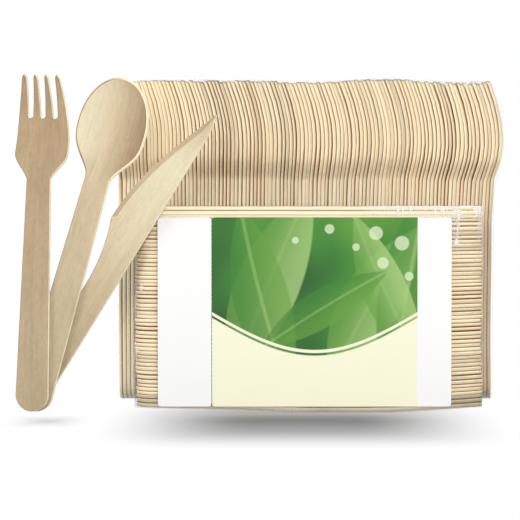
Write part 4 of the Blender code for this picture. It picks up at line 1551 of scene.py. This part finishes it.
@dataclass
class FrontFilm:
    """The film round the knives and the spoons, turned in round an opening at each end."""

    film: bpy.types.Material
    stacks: Stacks
    thickness: float = 0.08 * MM
    corner: float = 0.8 * MM
    turn_in: float = 14.0 * MM
    left_recess: float = 2.6 * MM
    right_recess: float = 1.9 * MM
    fold_x: float = 71.0 * MM
    dense_left: float = -70.0 * MM
    dense_right: float = 62.0 * MM
    fan_reach: float = 11.0 * MM
    # Reaches of the painted glints: the white at the corner, and the spot and rays round it.
    corner_reach: float = 8.0 * MM
    spot_at: float = 5.0 * MM
    spot_half: float = 4.6 * MM
    rays_run: tuple[float, float] = (19.0 * MM, 4.0 * MM)
    fold_half: float = 0.42 * MM
    fold_foot: float = 81.0 * MM
    pleat_pitch: float = 5.2 * MM
    line_pitch: float = 6.4 * MM

    def __post_init__(self) -> None:
        """Take the film's box from the frame."""
        self.low, self.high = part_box("front_wrap")

    def _section(self) -> tuple[np.ndarray, np.ndarray]:
        """The ring of a section: for each point its share of the way to the straight sides' ends,
        and the direction of the corner's round there."""
        sides = (((-1.0, -1.0), (-1.0, 1.0), (-1.0, 0.0), 84), ((-1.0, 1.0), (1.0, 1.0), (0.0, 1.0), 40),
                 ((1.0, 1.0), (1.0, -1.0), (1.0, 0.0), 60), ((1.0, -1.0), (-1.0, -1.0), (0.0, -1.0), 34))
        shares, directions = [], []
        for start, end, out, steps in sides:
            along = np.linspace(0.0, 1.0, steps)[:, None]
            shares.append(np.array(start) + (np.array(end) - np.array(start)) * along)
            directions.append(np.tile(out, (steps, 1)))
            turn = -np.radians(np.array([22.5, 45.0, 67.5]))
            shares.append(np.tile(end, (3, 1)))
            directions.append(np.column_stack([out[0] * np.cos(turn) - out[1] * np.sin(turn),
                                               out[0] * np.sin(turn) + out[1] * np.cos(turn)]))
        return np.concatenate(shares), np.concatenate(directions)

    def _rows(self) -> tuple[np.ndarray, np.ndarray]:
        """Places along x and how far the section is drawn in there: the turned-in end, the round
        over its edge, the length of the stack, and the same again."""
        end = self.high.x
        turned = np.linspace(self.turn_in, self.corner, 13)[:-1]
        angle = np.linspace(0.0, np.pi / 2, 5)
        round_x = end - self.corner * (1.0 - np.cos(angle))
        round_in = self.corner * (1.0 - np.sin(angle))
        straight = runs((end - self.corner, self.dense_right, 26), (self.dense_right, self.dense_left, 92),
                        (self.dense_left, self.corner - end, 14))[1:-1]
        x = np.concatenate([np.full(len(turned), end), round_x, straight])
        inset = np.concatenate([turned, round_in, np.zeros(len(straight))])
        x = np.concatenate([x, -round_x[::-1], np.full(len(turned), -end)])
        inset = np.concatenate([inset, round_in[::-1], turned[::-1]])
        return x[::-1], inset[::-1]

    def _creases(self, grid: np.ndarray) -> tuple[np.ndarray, np.ndarray]:
        """How far the film stands out of its smooth form, and its creases for the finish.

        Pleats fan from the upper right corner, run over the right end, cross the upper front edge
        and gather in the turned-in ends. A fold stands upright beside the label. The white for the
        finish is painted highlight: glints painted at the upper right corner, in a spot and rays round
        it, along the upper front edge and the top, in the gathers of the ends, at the bottom, along the
        fold and its foot, and in small specks at the ends.
        """
        x, y, z = np.moveaxis(grid, 2, 0)
        front = smoothstep(-y, 21.0 * MM, 23.0 * MM)
        right = smoothstep(x, 66.0 * MM, 80.0 * MM)
        left = smoothstep(-x, 74.0 * MM, 82.0 * MM)
        wander = Ripple(31, 5).at(x / (34.0 * MM), z / (26.0 * MM))

        reach = np.hypot(x - self.high.x, z - self.high.z)
        angle = np.arctan2(self.high.z - z, self.high.x - x)
        fan = ridge(15.0 * angle + 1.6 * wander, 2.5) * np.exp(-reach / self.fan_reach) * front
        broken = 0.45 + 0.55 * ridge(9.0 * angle + 2.0 * wander, 1.5)
        spot = bell(reach, self.spot_at, self.spot_half) * broken * front
        rays = ridge(14.0 * angle + 1.2 * wander, 3.0) * smoothstep(reach, *self.rays_run) * front

        tall = smoothstep(z, 79.0 * MM, 82.0 * MM) * (1.0 - smoothstep(z, 95.0 * MM, 97.5 * MM))
        fold = bell(x, self.fold_x + 0.25 * MM * wander, self.fold_half) * tall * front
        foot = bell(np.hypot((x - self.fold_x) / 1.6, z - self.fold_foot), 0.0, 0.9 * MM) * front

        edge = smoothstep(z, 93.5 * MM, 96.0 * MM) * smoothstep(-y, 12.0 * MM, 22.0 * MM)
        span = smoothstep(x, 26.0 * MM, 34.0 * MM) * (1.0 - 0.6 * smoothstep(x, 66.0 * MM, 74.0 * MM))
        pleats = ridge(2.0 * np.pi * x / self.pleat_pitch + 1.3 * wander, 3.0) * edge * span
        hem = bell(z, 97.2 * MM, 0.8 * MM) * front * smoothstep(x, 20.0 * MM, 44.0 * MM)

        lines = ridge(2.0 * np.pi * z / self.line_pitch + 1.4 * wander + x / (9.0 * MM), 2.5)
        ends = right + left
        small = Ripple(47, 6).at(x / (9.0 * MM), z / (7.0 * MM) + y / (8.0 * MM))
        glints = np.clip(small - 0.9, 0.0, None) * smoothstep(np.abs(x), 77.0 * MM, 81.0 * MM)

        flange = smoothstep(np.abs(x), self.high.x - 1.2 * MM, self.high.x - 0.2 * MM)
        centre_z = (self.low.z + self.high.z) / 2
        round_angle = np.arctan2((z - centre_z) / 49.0, y / 24.0)
        gathers = ridge(34.0 * round_angle + 1.2 * wander, 1.8) * flange
        belly = bell(x, -10.0 * MM, 7.0 * MM) * (1.0 - smoothstep(z, 0.8 * MM, 2.4 * MM)) * front

        height = 0.30 * fan + 0.35 * fold + 0.12 * pleats + 0.06 * lines * ends + 0.35 * gathers
        # Painted highlight: glints painted white at the corner, in the spot and rays, along the upper
        # front edge and the top, in the gathers, at the bottom, along the fold and its foot, and in small
        # specks at the ends.
        corner = np.exp(-reach / self.corner_reach) * front
        white = 1.10 * corner + 0.30 * spot + 0.42 * edge * span + 0.10 * hem
        white = white + 0.09 * gathers + 0.3 * belly
        white = np.clip(white, 0.0, 1.0) + 1.5 * fold + 1.3 * foot + 0.3 * glints + 1.1 * rays

        near = smoothstep(reach, 17.0 * MM, 13.0 * MM) * front
        across = np.where(near > 0.5, 12.0 * angle, x / (1.9 * MM))
        across = np.where(flange > 0.5, 20.0 * round_angle, across) + 0.3 * wander
        along = np.where(near > 0.5, reach / (4.0 * MM), z / (6.0 * MM))
        return height * MM, np.stack([np.clip(white, 0.0, 1.9), across, along], axis=-1)

    def build(self) -> None:
        """Carry the section along the stack, crease it and give it its thickness."""
        shares, directions = self._section()
        x, inset = self._rows()
        rise = self.stacks.bow(np.clip(x, self.low.x, self.high.x))
        drawn_left = self.left_recess * smoothstep(-x, 75.0 * MM, 83.0 * MM)
        drawn_right = self.right_recess * smoothstep(x, 64.0 * MM, 83.0 * MM)
        front = self.low.y + drawn_left + drawn_right + inset
        back = self.high.y - 0.4 * (drawn_left + drawn_right) - inset
        bottom = self.low.z + rise + inset
        top = self.high.z - inset
        round_off = self.corner + 0.22 * inset
        half_y = (back - front) / 2 - round_off
        half_z = (top - bottom) / 2 - round_off
        y = ((back + front) / 2)[:, None] + half_y[:, None] * shares[:, 0]
        z = ((top + bottom) / 2)[:, None] + half_z[:, None] * shares[:, 1]
        y = y + round_off[:, None] * directions[:, 0]
        z = z + round_off[:, None] * directions[:, 1]
        grid = np.stack([np.repeat(x[:, None], len(shares), axis=1), y, z], axis=2)
        height, crease_glint = self._creases(grid)
        grid = grid + tube_normals(grid) * height[..., None]
        faces = tube_faces(len(x), len(shares))
        carried = {"crease_glint": crease_glint.reshape(-1, 3)}
        piece = make_piece("front_film", grid.reshape(-1, 3), faces, self.film, carried)
        thicken(piece, self.thickness)
        settle(piece, "clear_film", "front_wrap")


@dataclass
class ForkFilm:
    """The film round the forks, bent as their heads are and turned in round each end."""

    film: bpy.types.Material
    stacks: Stacks
    thickness: float = 0.08 * MM
    corner: float = 1.2 * MM
    turn_in: float = 3.5 * MM
    rim: float = 0.8 * MM
    foot_to: float = 8.0 * MM
    head_from: float = 120.0 * MM
    streak_pitch: float = 7.3 * MM
    # How white the glints painted along the film's top and at its ends are.
    top_glint: float = 0.26
    end_glint: float = 0.03

    def _half(self, u: np.ndarray) -> np.ndarray:
        """Half depth: straight from the handle end to the widest place of the head, along the head
        above it, and an ellipse over each of the corners."""
        fork = self.stacks.fork
        widest = fork.length - fork.widest_from_tip
        end = fork.handle.end_round
        share = np.clip((u - end) / (widest - end), 0.0, 1.0)
        straight = (fork.handle.end_width + (fork.head_width - fork.handle.end_width) * share) / 2
        along_head = fork.half_width(np.clip(u, 0.0, fork.length))
        hull = np.where((u > end) & (u < widest), straight, along_head) + GAP
        over = np.clip((u - (fork.length + GAP - self.corner)) / self.corner, 0.0, 1.0)
        return hull - self.corner * (1.0 - np.sqrt(1.0 - over * over))

    def build(self) -> None:
        """Carry the section along the stack, crease it and give it its thickness."""
        fork = self.stacks.fork
        angle = np.linspace(0.0, np.pi / 2, 6)
        top = fork.length + GAP
        side = runs((-GAP, self.foot_to, 8), (self.foot_to, self.head_from, 34),
                    (self.head_from, top - self.corner, 26))[:-1]
        u = np.concatenate([side, top - self.corner * (1.0 - np.sin(angle))])
        half = self._half(u)
        across = np.linspace(-half[-1], half[-1], 14)[1:-1]
        under = np.linspace(half[0], -half[0], 10)[1:-1]
        ring_u = np.concatenate([u, np.full(len(across), top), u[::-1], np.full(len(under), -GAP)])
        ring_v = np.concatenate([-half, across, half[::-1], under])

        end = self.stacks.forks.count * self.stacks.forks.pitch / 2 + GAP
        turned = np.linspace(self.turn_in, self.rim, 5)
        straight = runs((-end + 0.5 * MM, end - 0.5 * MM, 150))
        x = np.concatenate([np.full(5, -end), straight, np.full(5, end)])
        inset = np.concatenate([turned, np.zeros(len(straight)), turned[::-1]])
        room = np.clip(1.0 - inset[:, None] / np.maximum(half.max(), 1e-6), 0.0, 1.0)
        v = ring_v[None, :] * room
        shown_u = np.clip(ring_u[None, :], -GAP + inset[:, None], top - inset[:, None])
        along = x[:, None] + self.stacks.bend(shown_u, x[:, None])
        drop = self.stacks.short(along) * smoothstep(shown_u, 0.9 * top, top)
        z = self.stacks.fork_floor + shown_u - 0.8 * drop
        grid = np.stack([along, self.stacks.fork_middle + v, z], axis=2)

        gx, gz = grid[..., 0], grid[..., 2]
        wander = Ripple(61, 6).at(gx / (40.0 * MM), gz / (60.0 * MM))
        at_top = smoothstep(shown_u, top - 4.0 * MM, top - 0.5 * MM)
        lumps = np.clip(Ripple(67, 7).at(gx / (17.0 * MM), v / (30.0 * MM)) - 0.15, 0.0, None)
        region = 0.35 + 0.65 * smoothstep(gx, 35.0 * MM, 60.0 * MM)
        streaks = ridge(2.0 * np.pi * gx / self.streak_pitch + 2.0 * wander, 3.0)
        ends = smoothstep(np.abs(x), end - 9.0 * MM, end)[:, None]
        height = 0.7 * lumps * at_top * region + 0.06 * streaks * ends
        # Painted highlight: glints painted along the top, more towards the right, and faintly at the ends.
        white = self.top_glint * at_top * region + self.end_glint * ends
        crease_glint = np.stack([white, gx / (2.2 * MM) + wander, shown_u / (9.0 * MM) + 0.0 * gx], axis=-1)
        grid = grid + tube_normals(grid) * (height * MM)[..., None]
        faces = tube_faces(len(x), len(ring_u))
        carried = {"crease_glint": crease_glint.reshape(-1, 3)}
        piece = make_piece("fork_film", grid.reshape(-1, 3), faces, self.film, carried)
        thicken(piece, self.thickness)
        settle(piece, "clear_film", "fork_wrap")


def thicken(piece: bpy.types.Object, thickness: float) -> None:
    """Give a film its wall, inwards from its outer face."""
    wall = piece.modifiers.new("wall", "SOLIDIFY")
    wall.thickness = thickness
    wall.offset = -1.0


# Labels


@dataclass
class Label:
    """A label of paper on the film: a rounded rectangle that bows a little at its edges."""

    node: str
    material: bpy.types.Material
    slot: str
    corner: float = 0.9 * MM
    lift: float = 0.10 * MM
    wave_length: float = 30.0 * MM
    pitch: float = 1.6 * MM
    least_steps: int = 12
    sharp_angle: float = math.radians(40.0)

    def build(self) -> None:
        """Make the sheet on the node's own box.

        Both faces are grids of places whose outer rows follow the rounded corners. The sheet lifts
        by a fourth power of the share of the way to its sides.
        """
        low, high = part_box(self.node)
        width, height = high.x - low.x, high.z - low.z
        across = np.linspace(-1.0, 1.0, max(self.least_steps, int(width / self.pitch)))
        up = np.linspace(-1.0, 1.0, max(self.least_steps, int(height / self.pitch)))
        a, b = np.meshgrid(across, up, indexing="ij")
        x = a * width / 2
        z = b * height / 2
        past_x = np.clip(np.abs(x) - (width / 2 - self.corner), 0.0, None)
        past_z = np.clip(np.abs(z) - (height / 2 - self.corner), 0.0, None)
        out = np.maximum(np.hypot(past_x, past_z) / self.corner, 1.0)
        x = np.sign(x) * (np.abs(x) - past_x + past_x / out)
        z = np.sign(z) * (np.abs(z) - past_z + past_z / out)
        ripple = Ripple(3, 4).at(x / self.wave_length, z / self.wave_length)
        lift = self.lift * np.maximum(a ** 4, b ** 4) * (0.6 + 0.4 * ripple)
        centre = (low + high) / 2
        faces_y = (low.y - np.clip(lift, 0.0, None), high.y - np.clip(lift, 0.0, None))
        sheets = [np.stack([centre.x + x, y, centre.z + z], axis=2).reshape(-1, 3) for y in faces_y]
        rows, columns = x.shape
        number = np.arange(rows * columns).reshape(rows, columns)
        corners = [number[:-1, :-1], number[1:, :-1], number[1:, 1:], number[:-1, 1:]]
        cells = np.stack(corners, axis=-1).reshape(-1, 4)
        border = np.concatenate([number[:-1, 0], number[-1, :-1], number[:0:-1, -1], number[0, :0:-1]])
        onward = np.roll(border, -1)
        behind = rows * columns
        walls = np.stack([border, border + behind, onward + behind, onward], axis=-1)
        faces = np.concatenate([cells, cells[:, ::-1] + behind, walls]).tolist()
        piece = make_piece(self.node + "_sheet", np.concatenate(sheets), faces, self.material, {})
        piece.data.set_sharp_from_angle(angle=self.sharp_angle)
        settle(piece, self.slot, self.node)


# Studio


@dataclass(frozen=True)
class Lamp:
    """A square soft light: its place, its side, its power and its colour."""

    name: str
    at: tuple[float, float, float]
    size: float
    power: float
    tint: Colour = WHITE


LAMPS = (
    Lamp("key", (1.10, -1.35, 0.55), 0.7, 17.5, (1.0, 0.99, 0.97)),
    Lamp("fill", (-1.45, -0.62, 0.40), 0.8, 12.5),
    Lamp("front", (-0.22, -1.55, 0.42), 0.5, 7.5),
    Lamp("back", (-0.05, 0.85, 1.42), 0.7, 30.0),
)


@dataclass
class Studio:
    """The floor, the soft lights, the white surround and the camera."""

    aim: tuple[float, float, float] = (-0.02, 0.0, 0.07)
    camera_at: tuple[float, float, float] = (-0.0230, -0.9640, 0.1080)
    camera_down: float = math.radians(2.14)
    lens: float = 137.1
    sensor: float = 36.0
    floor_radius: float = 2.5
    floor_sides: int = 64
    # A grey whose depth, inside the patches near the pack, paints part of the shadow; the floor's real
    # shadow shows on it as well.
    floor_grey: Colour = (0.33, 0.33, 0.34)
    shadow_at: tuple[float, float] = (-0.004, -0.070)
    shadow_reach: tuple[float, float] = (0.086, 0.080)
    small_shadow_at: tuple[float, float] = (-0.121, -0.058)
    small_shadow_reach: tuple[float, float] = (0.017, 0.022)
    shadow_fade: tuple[float, float] = (0.26, 1.12)
    small_shadow_fade: tuple[float, float] = (-1.5, 1.35)
    surround_light: float = 0.29

    @staticmethod
    def _away(x: Value, y: Value, centre: tuple[float, float], reach: tuple[float, float]) -> Value:
        """The fourth root of a^4 + b^4, with a and b the distances from the centre in reaches."""
        east = (x - centre[0]) * (1.0 / reach[0])
        north = (y - centre[1]) * (1.0 / reach[1])
        return (east * east * east * east + north * north * north * north) ** 0.25

    def _floor_material(self) -> bpy.types.Material:
        """A grey floor that shows its real shadow inside two patches near the pack, whose shape and
        greyness paint the shadow too, and is plain white for the camera farther out.
        """
        bench = Bench.for_finish("studio_floor")
        x, y, _ = bench.split(bench.place())
        large = self._away(x, y, self.shadow_at, self.shadow_reach)
        small = self._away(x, y, self.small_shadow_at, self.small_shadow_reach)
        seen = bench.seen_by("Camera", "Glossy", "Transmission")
        inputs = {"Base Color": self.floor_grey, "Roughness": 0.9, "Specular IOR Level": 0.0}
        matt = bench.principled(inputs)
        glow = bench.node("ShaderNodeEmission", inputs={"Color": WHITE, "Strength": 1.0})
        # Painted shadow: camera, glossy and transmission rays see the grey floor, with its real shadow,
        # only inside the two patches, and plain white elsewhere.
        white = large.step(*self.shadow_fade) * small.step(*self.small_shadow_fade) * seen
        return bench.finish(bench.node("ShaderNodeMixShader", inputs={0: white, 1: matt, 2: glow}))

    def _floor(self) -> None:
        """A disc of rings, each a step farther out, under the whole pack."""
        radius = np.concatenate([[0.02], np.geomspace(0.1, self.floor_radius, 9)])
        angle = np.linspace(0.0, 2.0 * np.pi, self.floor_sides, endpoint=False)
        ring = np.stack([np.cos(angle), np.sin(angle), np.zeros_like(angle)], axis=1)
        points = (radius[:, None, None] * ring[None]).reshape(-1, 3)
        faces = [face[::-1] for face in tube_faces(len(radius), self.floor_sides)]
        faces.append(tuple(range(self.floor_sides)))
        floor = make_piece("floor", points, faces, self._floor_material(), {})

    def _light(self, lamp: Lamp) -> None:
        """A square soft light that faces the pack and is never seen itself."""
        light = bpy.data.lights.new(lamp.name, "AREA")
        light.shape = "SQUARE"
        light.size = lamp.size
        light.energy = lamp.power
        light.color = lamp.tint
        holder = bpy.data.objects.new(lamp.name, light)
        holder.location = lamp.at
        holder.rotation_euler = (Vector(self.aim) - Vector(lamp.at)).to_track_quat("-Z", "Y").to_euler()
        holder.visible_camera = False
        holder.visible_glossy = False
        bpy.context.scene.collection.objects.link(holder)

    def _surround(self) -> None:
        """A world that is white where it is seen and dim where it lights."""
        bench = Bench(bpy.data.worlds.new("surround"))
        dim = bench.node("ShaderNodeBackground", inputs={"Color": WHITE, "Strength": self.surround_light})
        white = bench.node("ShaderNodeBackground", inputs={"Color": WHITE, "Strength": 1.0})
        seen = bench.seen_by("Camera", "Glossy")
        mixed = bench.node("ShaderNodeMixShader", inputs={0: seen, 1: dim, 2: white})
        bpy.context.scene.world = bench.finish(mixed, "ShaderNodeOutputWorld")

    def build(self) -> None:
        """Set up the stage and the camera."""
        scene = bpy.context.scene
        scene.view_settings.view_transform = "Standard"
        self._floor()
        self._surround()
        for lamp in LAMPS:
            self._light(lamp)
        camera = bpy.data.cameras.new("camera")
        camera.lens = self.lens
        camera.sensor_width = self.sensor
        holder = bpy.data.objects.new("camera", camera)
        holder.location = self.camera_at
        holder.rotation_euler = (math.pi / 2 - self.camera_down, 0.0, 0.0)
        scene.collection.objects.link(holder)
        scene.camera = holder


def main() -> None:
    """Build the pack piece by piece."""
    logging.basicConfig(level=logging.INFO, format="%(message)s")
    low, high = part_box("front_label")
    stacked = WoodFinish(Wood.STACKED).make()
    loose = WoodFinish(Wood.LOOSE).make()
    film = FilmFinish().make()
    stacks = Stacks(stacked)
    stacks.build()
    LoosePieces(loose).build()
    FrontFilm(film, stacks).build()
    ForkFilm(film, stacks).build()
    Label("white_sticker", PaperFinish().make(), "white_paper").build()
    Label("front_label", PrintFinish((low.x, low.z), high.x - low.x, high.z - low.z).make(),
          "printed_paper").build()
    Studio().build()


if __name__ == "__main__":
    main()
